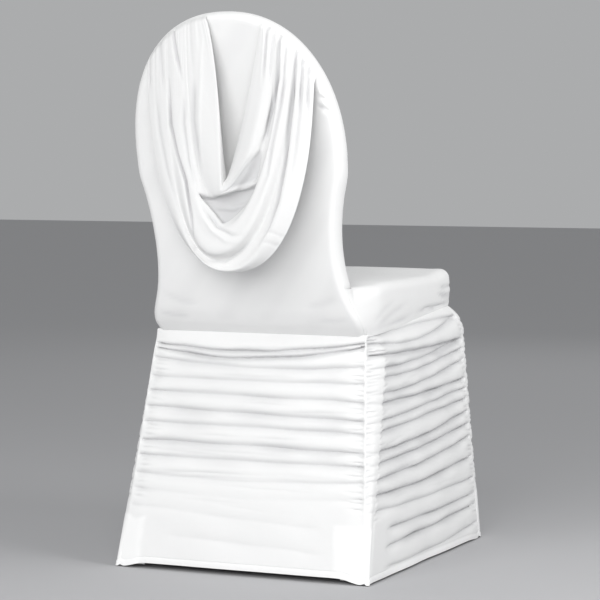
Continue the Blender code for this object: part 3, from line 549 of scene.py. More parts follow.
def hood_outline(bottom):
    """Left half, crown and right half of the hood's outline as x, z points and outward normals."""
    low = np.linspace(bottom, CROWN_BASE, OUTLINE_SIDE, endpoint=False)
    side = np.stack([smooth(low, HOOD_WIDTHS), low], axis=1)
    angle = np.linspace(0.0, np.pi / 2, OUTLINE_CROWN)
    power = 2.0 / CROWN_POWER
    crown = np.stack([
        CROWN_HALF * np.cos(angle) ** power,
        CROWN_BASE + (HOOD_TOP - CROWN_BASE) * np.sin(angle) ** power,
    ], axis=1)
    half = resample(np.concatenate([side, crown]), OUTLINE_HALF)
    half[-1, 0] = 0.0
    other = half[-2::-1] * np.array([-1.0, 1.0])
    line = np.concatenate([half, other])
    normal = unit(to_right(np.gradient(line, axis=0)))
    normal[0] = (1.0, 0.0)
    normal[-1] = (-1.0, 0.0)
    return line, normal


def edge_turn(degrees):
    """Inset from the hood's outline and distance from its middle plane, round its rounded edge."""
    angle = np.radians(degrees)
    return HOOD_EDGE * (1 - np.sin(angle)), -HOOD_DEPTH / 2 * np.cos(angle)


def edge_rings(face_offset, turns, seam_side, step):
    """Inset and offset of a panel's rows round the edge, from its face to its side of the seam."""
    rings = [(HOOD_EDGE * FACE_INSET, face_offset)]
    rings += [edge_turn(degrees) for degrees in turns]
    inset, offset = edge_turn(HOOD_SEAM_ANGLE + seam_side * np.degrees(SEAM / HOOD_EDGE))
    return rings + [(inset + SEAM_SINK, offset - step)]


def hood_points(flat, offset):
    """Points at places x, z, at an offset from the hood's middle plane."""
    y = rear_plane(flat[..., 1]) - HOOD_DEPTH / 2 + offset
    return np.stack([flat[..., 0], y, flat[..., 1]], axis=-1)


def filled(ring, bottom):
    """Grid of places between the foot, sides and crown of a ring of places."""
    left = ring[:HOOD_SIDE + 1]
    crown = ring[HOOD_SIDE:HOOD_SIDE + HOOD_ACROSS + 1]
    right = ring[HOOD_SIDE + HOOD_ACROSS:][::-1]
    base = np.stack([np.linspace(left[0, 0], right[0, 0], HOOD_ACROSS + 1),
                     np.full(HOOD_ACROSS + 1, bottom)], axis=1)
    v = np.linspace(0, 1, HOOD_SIDE + 1)[:, None, None]
    u = np.linspace(0, 1, HOOD_ACROSS + 1)[None, :, None]
    return ((1 - u) * left[:, None] + u * right[:, None] + (1 - v) * base[None] + v * crown[None]
            - ((1 - u) * (1 - v) * left[0] + u * (1 - v) * right[0]
               + (1 - u) * v * left[-1] + u * v * right[-1]))


def hood_surface(bottom, rings):
    """A hood panel's face and the rows round its edge, before folds."""
    line, normal = hood_outline(bottom)
    along = distances(line)
    corner_at = along[(len(line) - 1) // 2] - HOOD_CORNER
    side = np.linspace(0.0, corner_at, HOOD_SIDE + 1)
    top = np.linspace(corner_at, along[-1] - corner_at, HOOD_ACROSS + 1)
    wanted = np.concatenate([side, top[1:-1], along[-1] - side[::-1]])
    edge = points_at(line, along, wanted)
    out = points_at(normal, along, wanted)
    flats = [edge - out * inset for inset, _ in rings]
    for flat in flats:
        flat[0, 1] = flat[-1, 1] = bottom
    face = hood_points(filled(flats[0], bottom), rings[0][1])
    strips = np.array([hood_points(flat, offset) for flat, (_, offset) in zip(flats, rings)])
    return face, strips


def tuck_foot(face, strips, rings, bottom):
    """Lays the front panel's foot on the seat and tucks it down and in near the sides."""
    tucked_to = edge_turn(WING_ANGLE + HOOD_TUCK_PAST)[1]
    tucked = np.array([[float(offset < tucked_to)] for _, offset in rings])
    for table, tuck, inward in ((face, 1.0, 0.0), (strips, tucked, HOOD_TUCK_IN)):
        tuck = tuck * ease((np.abs(table[..., 0]) - HOOD_TUCK_FROM) / HOOD_TUCK_OVER)
        foot = table[..., 2] <= bottom + 1e-9
        table[foot, 2] = smooth(table[foot, 1], SEAT_HEIGHTS) + SEAM - HOOD_TUCK * tuck[foot]
        table[foot, 0] -= np.sign(table[foot, 0]) * inward * tuck[foot]


def face_border(face):
    """Points of a face's border, which the first row of its edge joins: sides and crown."""
    return np.concatenate([face[:, 0], face[-1, 1:-1], face[::-1, -1]])


def build_hood_rear():
    """Rear panel, which ends at the seam near the edge."""
    rings = edge_rings(HOOD_DEPTH / 2, REAR_TURNS, 1, SEAM_STEP)
    face, strips = hood_surface(HOOD_BOTTOM, rings)
    flat = face[..., (0, 2)]
    beside = np.abs(flat[..., 0])
    push = crease(flat, REAR_CREASES)
    push += 0.0006 * wander(flat[..., 0] * 1.3 + flat[..., 1], 11, 0.16)
    inner = ease((0.16 - beside) / 0.03) * ease((flat[..., 1] - HOOD_BOTTOM) / 0.01)
    edge_push = crease(flat, EDGE_CREASES) * (1 - inner)
    face[..., 1] += push * inner + edge_push * ease((0.186 - beside) / 0.006)
    patch = Patch()
    # Painted shade in the creases' troughs
    patch.grid(face, shade_marks(push, 0.004, 0.5))
    strip_push = crease(strips[..., (0, 2)], EDGE_CREASES)
    strips[0] = face_border(face)
    strips[..., 1] += strip_push * np.array(REAR_TAPER)[:, None]
    patch.grid(strips)
    rear = piece("back_rear_cloth", patch, (0, 1, 0), "back_rear_panel", cover_cloth)


def build_hood_front():
    """Front panel, with the edge turned round to the rear seam and a foot that rests on the seat."""
    half = HOOD_DEPTH / 2
    foot = float(smooth(rear_plane(HOOD_MEETS_SEAT) - half, SEAT_HEIGHTS)) + CLEAR
    rings = edge_rings(-half, FRONT_TURNS, -1, 0.0)
    face, strips = hood_surface(foot, rings)
    tuck_foot(face, strips, rings, foot)
    flat = face[..., (0, 2)]
    push = 0.0007 * wander(flat[..., 0] + 1.6 * flat[..., 1], 23, 0.2)
    push += crease(flat, FRONT_CREASES)
    inner = ease((0.15 - np.abs(flat[..., 0])) / 0.03) * ease((flat[..., 1] - foot) / 0.012)
    inner *= ease((0.905 - flat[..., 1]) / 0.03)
    face[..., 1] -= push * inner
    strips[0] = face_border(face)
    first = strips[:, :1] + np.array([-HOOD_LIP, 0.0, -HOOD_LIP / 3])
    last = strips[:, -1:] + np.array([HOOD_LIP, 0.0, -HOOD_LIP / 3])
    patch = Patch()
    patch.grid(face)
    patch.grid(np.concatenate([first, strips, last], axis=1))
    front = piece("back_front_cloth", patch, (0, -1, 0), "back_front_panel", cover_cloth)


# Seat

# Cells from the middle of the top to its edge, from there down the side, and those of the rounded edge
SEAT_TOP = 26
SEAT_DROP = 20
SEAT_BEND = 8
# Rows of the top in front of the hood, the y of the last one and the step before the first one
TOP_ROWS = 24
TOP_LAST = -0.165
TOP_STEP = 0.012
# Length of the rows in which the sides leave the hood's edge
BLEND_LENGTH = 0.05
# How far the sides bulge out half way down, and how far they are drawn in at their foot
SIDE_BULGE = 0.0016
SIDE_TUCK = 0.002
# How far round the hood's edge the seat's sides follow it before they turn to the front: at their
# top edge, and from a share of their height on; and the gap that is left to the hood's corner
WING_TOP_ANGLE = 62.0
WING_ANGLE = 112.0
WING_TOP_SHARE = 0.35
WING_ROWS = 12
BLEND_ROWS = 10
CORNER_GAP = 0.0006
# Creases of the seat's sides, in y and z
SEAT_SIDE_CREASES = (
    (0.003, 0.003, ((-0.199, 0.464), (-0.175, 0.46), (-0.135, 0.463))),
    (0.0036, 0.0026, ((-0.199, 0.449), (-0.17, 0.446), (-0.125, 0.453))),
    (0.003, 0.0026, ((-0.199, 0.44), (-0.174, 0.441), (-0.14, 0.446))),
    (0.005, 0.003, ((-0.199, 0.43), (-0.15, 0.429), (-0.07, 0.429), (-0.03, 0.425))),
    (0.0012, 0.005, ((0.15, 0.412), (0.09, 0.43), (0.01, 0.446))),
    (0.001, 0.004, ((0.16, 0.42), (0.12, 0.44), (0.07, 0.452))),
    (0.0022, 0.0034, ((0.16, 0.405), (0.11, 0.4085), (0.05, 0.415), (-0.01, 0.424))),
)


def seat_ring(level):
    """Distance out from the flat top, fall and share of the drop at a level of the seat's edge."""
    if level <= SEAT_BEND:
        angle = np.pi / 2 * level / SEAT_BEND
        return SEAT_EDGE * np.sin(angle), SEAT_EDGE * (1 - np.cos(angle)), 0.0
    return SEAT_EDGE, SEAT_EDGE, (level - SEAT_BEND) / (SEAT_DROP - SEAT_BEND)


def cinch_height(y):
    """Height of the seam between seat and skirt, which falls from the front to the rear."""
    rear = SKIRT_LINES["rear_leg"][5]
    front = SKIRT_LINES["front_leg"][5]
    reach = np.clip((rear - np.asarray(y, float)) / (rear - front), 0.0, 1.0)
    return CINCH_REAR + (CINCH_FRONT - CINCH_REAR) * reach


def seat_point(side_level, front_level, across, y):
    """A point of the seat panel's left half from its place in the grid."""
    out, fall, extra = seat_ring(max(side_level, front_level))
    top = float(smooth(y, SEAT_HEIGHTS))
    cinch = float(cinch_height(y if front_level == 0 else SEAT_FRONT)) + CINCH_OPEN / 3
    z = top - fall
    z = z + (cinch - z) * extra
    reach = out + SIDE_BULGE * np.sin(np.pi * extra) - SIDE_TUCK * extra ** 4
    if side_level >= front_level:
        angle = np.radians(45.0) * front_level / max(side_level, 1)
    else:
        angle = np.radians(90.0) - np.radians(45.0) * side_level / front_level
    flat_x = across * (SEAT_HALF - SEAT_EDGE)
    return [flat_x + reach * np.cos(angle), y - reach * np.sin(angle), z]


def seat_wing(level_share, degrees):
    """Place on the seat's sides beside the hood, where they follow the hood's edge to its rear seam."""
    top = float(smooth(rear_plane(HOOD_MEETS_SEAT), SEAT_HEIGHTS))
    foot = CINCH_REAR + CINCH_OPEN / 3
    z = top + (foot - top) * level_share
    inset, offset = edge_turn(degrees)
    wide = float(smooth(z, HOOD_WIDTHS)) - inset
    return wide, float(rear_plane(z)) - HOOD_DEPTH / 2 + offset, z


def beside_hood(row, level_share, further_on):
    """A point of the seat's first rows: on the hood's edge, then blended to its place further on."""
    seam = HOOD_SEAM_ANGLE - np.degrees(SEAM / HOOD_EDGE)
    leaving = WING_TOP_ANGLE + (WING_ANGLE - WING_TOP_ANGLE) * float(ease(level_share / WING_TOP_SHARE))
    degrees = seam + (leaving - seam) * min(row / (WING_ROWS - 1), 1.0)
    wide, rear_y, z = seat_wing(level_share, degrees)
    if row < WING_ROWS:
        return [wide, rear_y, z]
    t = (row - WING_ROWS + 1) / (BLEND_ROWS + 1)
    keep = 1 - float(ease(t))
    x, y, height = further_on
    return [x * (1 - keep) + wide * keep, y * (1 - keep) + (rear_y * (1 - t) + y * t) * keep,
            height * (1 - keep) + z * keep]


def hood_corner():
    """x and y of the hood's front corner at the seat, from the front face round to its side."""
    turned = [seat_wing(0.0, degrees) for degrees in np.linspace(0.0, 88.0, 23)]
    return [point[0] for point in turned], [point[1] for point in turned]


def seat_stops():
    """y of each row of the seat's top, from the hood's seam to the front edge."""
    front_of_hood = float(rear_plane(HOOD_MEETS_SEAT)) - HOOD_DEPTH
    stops = [front_of_hood] * WING_ROWS
    stops += list(front_of_hood - CLEAR - np.linspace(0, BLEND_LENGTH, BLEND_ROWS))
    stops += list(np.linspace(stops[-1] - TOP_STEP, TOP_LAST, TOP_ROWS))
    return stops + [SEAT_FRONT + SEAT_EDGE]


def seat_table(stops, places):
    """Points of the seat panel, a row per stop and per level of the front drop."""
    table = np.zeros((len(stops) + SEAT_DROP, len(places), 3))
    corner_x, corner_y = hood_corner()
    for row in range(len(table)):
        front_level = max(0, row - len(stops) + 1)
        y = stops[min(row, len(stops) - 1)]
        beside = row < WING_ROWS + BLEND_ROWS
        if beside:
            edge_x = beside_hood(row, 0.0, seat_point(0, 0, 1.0, y))[0]
        for column, place in enumerate(places):
            side_level = max(0, abs(place) - SEAT_TOP)
            across = min(abs(place), SEAT_TOP) / SEAT_TOP
            point = seat_point(side_level, front_level, across, y)
            if beside and across == 1.0:
                point = beside_hood(row, side_level / SEAT_DROP, point)
            elif beside:
                point[0] = across * edge_x
                if row < WING_ROWS:
                    point[1] = float(np.interp(across * edge_x, corner_x, corner_y)) - CORNER_GAP
            table[row, column] = point
            table[row, column, 0] *= -1.0 if place < 0 else 1.0
    return table


def build_seat():
    """Seat panel: the top and the drop at the front and both sides, open behind under the hood."""
    table = seat_table(seat_stops(), list(range(-SEAT_TOP - SEAT_DROP, SEAT_TOP + SEAT_DROP + 1)))
    normals = grid_normals(table, (0, 0, 1))
    flat_top = ease((SEAT_HALF - SEAT_EDGE - np.abs(table[..., 0])) / 0.02)
    push = 0.001 * wander(table[..., 0] + 0.6 * table[..., 1], 31, 0.22) * flat_top
    sides = np.abs(normals[..., 0]) > 0.6
    push = push + crease(table[..., 1:], SEAT_SIDE_CREASES) * sides
    push[:2] = 0
    push[:, :2] = 0
    push[:, -2:] = 0
    push[-2:] = 0
    table = table + normals * push[..., None]

    def keep_cell(r, c):
        inner = SEAT_DROP <= c < SEAT_DROP + 2 * SEAT_TOP
        return not (r < WING_ROWS - 1 and inner)

    patch = Patch()
    # Painted shade in the creases' troughs
    patch.grid(table, shade_marks(push, 0.004, 0.5), keep_cell)
    made = piece("seat_cloth", patch, (0, 0, 1), "seat_panel", cover_cloth)


# Skirt

# Where parts of a panel's width end: the strip and bevel of a side panel, the wrap and rounded corner
# of the front one
STRIP_END = 0.1
BEVEL_END = 0.125
WRAP_END = 0.03
ROUND_END = 0.1
MIRROR = np.array([-1.0, 1.0])
# Places of the columns beside the seams, and of the evenly spaced ones: first, last, how many
REAR_NEAR = (0.0, 0.0012, 0.003, 0.006, 0.01)
REAR_EVEN = (0.016, 0.984, 84)
FRONT_NEAR = (0.0, 0.0012, 0.003, 0.006, 0.012, 0.02)
FRONT_EVEN = (0.112, 0.888, 64)
SIDE_NEAR = (0.0, 0.003, 0.008)
SIDE_FIRST = 0.016
SIDE_LAST = (0.984, 0.99, 0.994, 0.997, 0.9988, 1.0)
# How many columns are on the strip, bevel and rest of a side panel and round the front's corner
STRIP_COLUMNS = 9
BEVEL_COLUMNS = 6
SIDE_COLUMNS = 76
ROUND_COLUMNS = 12
# How many rows are above the hem's, and places of the hem's rows and of the next one, as shares of
# the height
SKIRT_ROWS = 250
HEM_ROWS = (0.0, 0.004, 0.01, 0.018, 0.0235, 0.0255, 0.0275, 0.031)
UPPER_ROWS = 0.036
# How late the skirt is drawn in below the cinch
CINCH_POWER = 2.2
# Width, depth and roundness of the folds in the middle of each panel, and how much they stray
WIDE = {"rear": 1.25, "front": 1.1, "side": 0.95}
DEEP = {"rear": 1.15, "front": 1.15, "side": 1.8}
ROUND = {"rear": 0.002, "front": 0.0024, "side": 0.0012}
STRAY = {"rear": 0.0009, "front": 0.0009, "side": 0.0005}
# How much painted shade the troughs get at most, as a share of the way to the shade colour, and the
# depth at which it is reached
SHADE = {"rear": 0.55, "front": 0.55, "side": 0.66}
SHADE_DEPTH = 0.0075
# How many of the uppermost folds are pinched, and their width as a share of the others'
PINCHED = {"rear": 2, "front": 0, "side": 0}
PINCH = 0.56
# Section of a fold above and below its trough, and its roundness at the seams
FOLD_ABOVE = 0.0032
FOLD_BELOW = 0.0072
FOLD_ROUND = 0.0007
# Width of a fold at the seams and what it gains away from them, as shares
FOLD_WIDTHS = (0.45, 0.55)
# How uneven a fold's depth and width are, as shares, and the lengths over which its height, depth and
# width change
DEPTH_UNEVEN = 0.2
WIDTH_UNEVEN = 0.25
HEIGHT_WANDER = 0.17
DEPTH_WANDER = 0.16
WIDTH_WANDER = 0.12
# What is added to a fold's seed for its depth and its width above and below
DEPTH_SEED = 60
ABOVE_SEED = 30
BELOW_SEED = 90
# Folds that are less deep than this are broader, above and below their trough
FAINT = 0.003
FAINT_ABOVE = 1.8
FAINT_BELOW = 1.3
# Distances from the seams over which the folds reach their full depth and their full width
FOLD_RISE = {"rear": 0.0065, "front": 0.011, "side": 0.011}
FOLD_WIDEN = 0.07
# How far the cloth stands out away from its seams, and the distance over which it and the folds'
# straying set in
SEAM_SWELL = 0.0016
SEAM_CALM = 0.03
# Small folds between the long ones, and the width over which a long fold's ends lie apart
MINOR_FOLDS = 26
MINOR_SEED = 500
# Least and most of what is drawn for a small fold: height, place along the panel, reach, tilt, depth
MINOR_HEIGHTS = (0.1, 0.38)
MINOR_PLACES = (0.1, 0.9)
MINOR_REACHES = (0.03, 0.1)
MINOR_TILTS = (-0.05, 0.05)
MINOR_DEPTHS = (0.0004, 0.0014)
# Section of a small fold: above and below its trough, and its roundness
MINOR_SECTION = (0.002, 0.0045, 0.0007)
# How much the small folds and gathers stray from a straight line, and over what length
SMALL_STRAY = 0.0006
MINOR_WANDER = 0.1
GATHER_WANDER = 0.02
# Least and most of what is drawn for a gather: width, length and depth as shares, tilt, and the
# distance to the next one as a share
GATHER_WIDTHS = (0.7, 1.3)
GATHER_LENGTHS = (0.5, 1.6)
GATHER_DEPTHS = (0.5, 1.3)
GATHER_TILTS = (-0.05, 0.05)
GATHER_PITCHES = (0.7, 1.35)
# Section of a gather above and below its trough, its roundness, the distance over which it sets in,
# and the shares of its length at full depth and over which it fades
GATHER_ABOVE = 0.0009
GATHER_BELOW = 0.0017
GATHER_ROUND = 0.0004
GATHER_START = 0.004
GATHER_FULL = 0.25
GATHER_FADE = 0.75
FOLD_SPAN = 0.42
# Gathers beside the seams, a row each: where they start, seed, lowest and highest one, distance
# between them, length, depth, slope, distance at which they set in, height below which is none
GATHERS = {
    "rear": (
        ("first", 1, 0.12, 0.385, 0.008, 0.034, 0.0024, -0.05, 0.008, 0.088),
        ("last", 2, 0.12, 0.385, 0.008, 0.03, 0.0024, 0.02, 0.002, 0.088),
    ),
    "front": (
        ("first", 1, 0.11, 0.405, 0.009, 0.024, 0.0018, 0.0, 0.0, 0.088),
        ("last", 2, 0.11, 0.405, 0.009, 0.024, 0.0018, 0.0, 0.0, 0.088),
    ),
    "side": (
        ("leg", 1, 0.1, 0.385, 0.008, 0.026, 0.002, 0.1, 0.0, 0.088),
        ("first", 3, 0.12, 0.372, 0.0085, 0.02, 0.0018, 0.1, -0.001, 0.088),
        ("first", 4, 0.373, 0.395, 0.005, 0.04, 0.0046, 0.02, 0.0, 0.088),
        ("last", 2, 0.05, 0.41, 0.0085, 0.026, 0.0022, 0.1, 0.0, 0.03),
    ),
}
# Hem: share of its lift at the sides, height and thickness of its band, height and depth of its groove
HEM_SIDE_SHARE = 0.35
BAND_HEIGHT = 0.0086
BAND_STEP = 0.0007
GROOVE_HEIGHT = 0.0098
GROOVE_DEPTH = 0.0006
# How far a panel is drawn in at its seams, at the last one of a side or front panel, and over what
# distance
SEAM_IN = 0.0005
LAST_SEAM_IN = 0.0012
SEAM_IN_OVER = 0.0022
# How far the upper edge turns up and in under the seat
LIP_UP = 0.0014
LIP_IN = 0.003
# Foot pockets that show through a panel, from its first seam and from its last: reach, height,
# unevenness of the outline
POCKET_MARKS = {
    "rear": ((0.029, 0.08, 0.004), (0.048, 0.088, 0.0008)),
    "front": ((0.06, 0.084, 0.0008), (0.06, 0.084, 0.0008)),
    "side": ((0.024, 0.084, 0.0008),),
}
# How far the cloth stands out over a foot pocket, and how white the doubled cloth of the pocket and
# of the hem's band is
POCKET_PROUD = 0.0005
POCKET_WHITE = 0.85
BAND_WHITE = 0.35
# How far from a panel's seams the cloth lies flat beside the foot pockets; a side panel has one
# only at its first seam
POCKET_ZONE = 0.062
SIDE_ZONES = (0.075, -0.05)


def kind_of(panel):
    return "side" if panel in ("left", "right") else panel


def skirt_lines(share, pull):
    """x and y of the rear seam, rear leg and front leg at the left, at shares of the way up."""
    lines = []
    for floor_x, floor_y, seat_x, seat_y, cinch_x, cinch_y in SKIRT_LINES.values():
        x = floor_x + (seat_x - floor_x) * share
        y = floor_y + (seat_y - floor_y) * share
        lines.append(np.stack([x + (cinch_x - x) * pull, y + (cinch_y - y) * pull], axis=-1))
    return lines


def part(place, start, end):
    """0 to 1 over one part of a panel's width."""
    return np.clip((place - start) / (end - start), 0, 1)[..., None]


def joined(place, ends, parts):
    """Each place's point on the part of the plan in which it lies."""
    second = np.where((place < ends[1])[..., None], parts[1], parts[2])
    return np.where((place < ends[0])[..., None], parts[0], second)


def front_plan(place, front, wrap):
    """Plan of the front panel: both wraps, rounded corners and the flat middle."""
    turn = FRONT_ROUND
    middle = front + np.array([-turn, turn])
    arc_end = front + np.array([0.0, turn])
    corner = front + np.array([-turn, 0.0])
    mirrored = place > 0.5
    q = np.where(mirrored, 1 - place, place)
    first = wrap + (arc_end - wrap) * part(q, 0.0, WRAP_END)
    angle = part(q, WRAP_END, ROUND_END)[..., 0] * np.pi / 2
    arc = middle + turn * np.stack([np.cos(angle), -np.sin(angle)], axis=-1)
    centre = corner * np.array([0.0, 1.0])
    flat = corner + (centre - corner) * part(q, ROUND_END, 0.5)
    result = joined(q, (WRAP_END, ROUND_END), (first, arc, flat))
    return np.where(mirrored[..., None], result * MIRROR, result)


def side_plan(place, share, seam, leg, wrap):
    """Plan of the left panel: a rounded strip beside the rear seam, the leg's bevel and the side."""
    strip = leg - seam
    length = np.linalg.norm(strip, axis=-1, keepdims=True)
    bevel = np.minimum(LEG_BEVEL, 0.3 * length)
    near = leg - strip / length * bevel
    far = leg + unit(wrap - leg) * bevel
    t0 = part(place, 0.0, STRIP_END)
    t1 = part(place, STRIP_END, BEVEL_END)
    side_on = -to_right(strip) / length
    first = seam + (near - seam) * t0
    first = first + side_on * STRIP_SWELL * np.sin(np.pi * t0) * (1 - 0.7 * share[..., None])
    bend = near * (1 - t1) ** 2 + 2 * leg * t1 * (1 - t1) + far * t1 ** 2
    last = far + (wrap - far) * part(place, BEVEL_END, 1.0)
    return joined(place, (STRIP_END, BEVEL_END), (first, bend, last))


def skirt_plan(panel, place, share, pull):
    """Plan of a panel without folds; place is 0 at the first seam and 1 at the last."""
    seam, leg, front = skirt_lines(share, pull)
    if panel == "rear":
        points = seam + (seam * MIRROR - seam) * place[..., None]
        points[..., 1] += REAR_SWELL * share * (1 - pull) * np.sin(np.pi * place) ** 0.7
        return points
    wrap = np.stack([front[..., 0], front[..., 1] + FRONT_ROUND + FRONT_WRAP], axis=-1)
    if panel == "front":
        return front_plan(place, front, wrap)
    result = side_plan(place, share, seam, leg, wrap)
    return result * MIRROR if panel == "right" else result


def columns_of(panel):
    """Places of a panel's columns, closer together beside its seams and at its corners."""
    if panel == "rear":
        near = np.array(REAR_NEAR)
        return np.concatenate([near, np.linspace(*REAR_EVEN), 1 - near[::-1]])
    if panel == "front":
        near = np.concatenate([FRONT_NEAR, np.linspace(WRAP_END, ROUND_END, ROUND_COLUMNS)])
        return np.concatenate([near, np.linspace(*FRONT_EVEN), 1 - near[::-1]])
    first = np.concatenate([SIDE_NEAR, np.linspace(SIDE_FIRST, STRIP_END, STRIP_COLUMNS)])
    bend = np.linspace(STRIP_END, BEVEL_END, BEVEL_COLUMNS)[1:]
    run = np.linspace(BEVEL_END, SIDE_LAST[0], SIDE_COLUMNS)[1:]
    return np.concatenate([first, bend, run, SIDE_LAST[1:]])


def hem_height(panel, near):
    """Height of the hem at distances from the nearest seam: low at the feet, higher in the middle."""
    away = near - FRONT_ROUND - FRONT_WRAP if panel == "front" else near
    lift = HEM_LIFT * (HEM_SIDE_SHARE if kind_of(panel) == "side" else 1.0)
    corner = HEM_CORNER * (1 - ease(near / HEM_ROUND)) ** 2
    return HEM_LOW + CLOTH / 2 + lift * ease(away / HEM_FOOT) + corner


def trough(off, above, below, soft):
    """Section of one fold: steep above its trough, a long soft slope below."""
    size = np.where(off > 0, above, below)
    return np.exp(-(np.sqrt(off ** 2 + soft ** 2) - soft) / size)


def skirt_folds(kind, folds, seed, along, z):
    """Push of a panel's long folds."""
    share = along / along[-1]
    near = np.minimum(along, along[-1] - along)
    middle_share = ease(near / FOLD_WIDEN)
    wide = WIDE[kind] * (FOLD_WIDTHS[0] + FOLD_WIDTHS[1] * middle_share)
    push = np.zeros(z.shape)
    for k, (start, middle, end, depth, kept) in enumerate(folds):
        height = start * (1 - share) + end * share
        height = height + 4 * (middle - (start + end) / 2) * share * (1 - share)
        stray = STRAY[kind] * wander(along, seed + k, HEIGHT_WANDER)
        height = height + stray * ease(near / SEAM_CALM)
        deep = DEEP[kind] * depth * (1 + (kept - 1) * 4 * share * (1 - share))
        deep = deep * (1 + DEPTH_UNEVEN * wander(along, seed + DEPTH_SEED + k, DEPTH_WANDER))
        soft = FOLD_ROUND + (ROUND[kind] - FOLD_ROUND) * middle_share
        uneven_above = WIDTH_UNEVEN * wander(along, seed + ABOVE_SEED + k, WIDTH_WANDER)
        uneven_below = WIDTH_UNEVEN * wander(along, seed + BELOW_SEED + k, WIDTH_WANDER)
        above = FOLD_ABOVE * wide * (1 + uneven_above)
        below = FOLD_BELOW * wide * (1 + uneven_below)
        if depth < FAINT:
            above = above * FAINT_ABOVE
            below = below * FAINT_BELOW
        if k >= len(folds) - PINCHED[kind]:
            above = above * PINCH
            below = below * PINCH
            soft = soft * PINCH
        push -= deep * trough(z - height, above, below, soft)
    return push


def fold_rise(kind, place, near, z):
    """Share of the folds' depth: none at the seams, little on the strip and at the front corners."""
    rise = ease(near / FOLD_RISE[kind])
    if kind == "front":
        return rise * (0.35 + 0.65 * ease((near - 0.045) / 0.05))
    if kind == "rear":
        return rise
    crossing = 0.16 + 0.74 * ease((z - 0.335) / 0.03)
    on_strip = crossing + (1 - crossing) * ease((place - STRIP_END * 1.05) / 0.05)
    return np.where(place > 0.5, rise, rise * on_strip)


def calm_beside_pockets(kind, place, near, z):
    """Share of the folds' depth that is kept where the foot pockets hold the cloth flat."""
    low = 1.0 - ease((z - POCKET_HEIGHT) / 0.02)
    zone = np.where(place < 0.5, *SIDE_ZONES) if kind == "side" else POCKET_ZONE
    return 1.0 - low * (1.0 - ease((near - zone) / 0.04))


def slope_of(folds, height):
    """Slope of the nearest fold."""
    nearest = min(folds, key=lambda row: abs(row[1] - height))
    return (nearest[2] - nearest[0]) / FOLD_SPAN


def minor_folds(folds, seed, along, z):
    """Push of small folds at drawn places, with the slope of the long fold nearest to them."""
    draw = np.random.default_rng(seed + MINOR_SEED)
    push = np.zeros(z.shape)
    for _ in range(MINOR_FOLDS):
        at = draw.uniform(*MINOR_HEIGHTS)
        centre = draw.uniform(*MINOR_PLACES) * along[-1]
        reach = draw.uniform(*MINOR_REACHES)
        tilt = draw.uniform(*MINOR_TILTS) + slope_of(folds, at)
        stray = SMALL_STRAY * wander(along, int(at * 1e5), MINOR_WANDER)
        off = z - at - tilt * (along - centre) - stray
        fade = np.exp(-((along - centre) / reach) ** 2)
        push -= draw.uniform(*MINOR_DEPTHS) * fade * trough(off, *MINOR_SECTION)
    return push


def pucker_field(near, z, seed, low, high, pitch, reach, deep, slope, start):
    """Short gathers that start at a seam."""
    draw = np.random.default_rng(seed)
    push = np.zeros(z.shape)
    height = low
    while height < high:
        size = draw.uniform(*GATHER_WIDTHS)
        length = reach * draw.uniform(*GATHER_LENGTHS)
        depth = deep * draw.uniform(*GATHER_DEPTHS)
        tilt = slope + draw.uniform(*GATHER_TILTS)
        stray = SMALL_STRAY * wander(near, seed + int(height * 1e4), GATHER_WANDER)
        off = z - height - tilt * near - stray
        left = 1 - ease((near - GATHER_FULL * length) / (GATHER_FADE * length))
        fade = ease((near - start) / GATHER_START) * left
        push -= depth * fade * trough(off, GATHER_ABOVE * size, GATHER_BELOW * size, GATHER_ROUND)
        height += pitch * draw.uniform(*GATHER_PITCHES)
    return push


def seam_gathers(push, kind, seed, place, along, z):
    """The push, with the short gathers beside a panel's seams and its leg's crease."""
    crease_at = np.interp(STRIP_END, place, along)
    starts = {"first": along, "last": along[-1] - along, "leg": np.clip(along - crease_at, 0, None)}
    for start, more_seed, *shape, calm_below in GATHERS[kind]:
        calm = ease((z - calm_below) / 0.02)
        push = push + calm * pucker_field(starts[start], z, seed + more_seed, *shape)
    return push


def hem_band(push, above_hem):
    """The push with the hem's doubled band and stitched groove, and where the band is."""
    band = 1 - ease((above_hem - BAND_HEIGHT) / 0.0012)
    push = push + BAND_STEP * band
    return push - GROOVE_DEPTH * np.exp(-((above_hem - GROOVE_HEIGHT) / 0.0009) ** 2), band


def pocket_mask(kind, along, z):
    """1 over a foot pocket, where the doubled cloth is whiter, and 0 elsewhere."""
    total = np.zeros(z.shape)
    for near, (far, high, rough) in zip((along, along[-1] - along), POCKET_MARKS[kind]):
        uneven = rough * wander(z, int(far * 1e4), 0.05)
        across = 1 - ease((near - far - uneven) / 0.007)
        up = 1 - ease((z - high - rough * wander(near, int(high * 1e4) + 3, 0.03)) / 0.008)
        total = total + across * up
    return np.clip(total, 0, 1)


def drawn_in(kind, along, near):
    """How far the panel is drawn in beside its seams, in a round fall."""
    most = SEAM_IN if kind == "rear" else np.where(near < along, LAST_SEAM_IN, SEAM_IN)
    part_in = 1 - np.clip(near / SEAM_IN_OVER, 0, 1)
    return most * (1 - np.sqrt(np.clip(1 - part_in ** 2, 0, 1)))


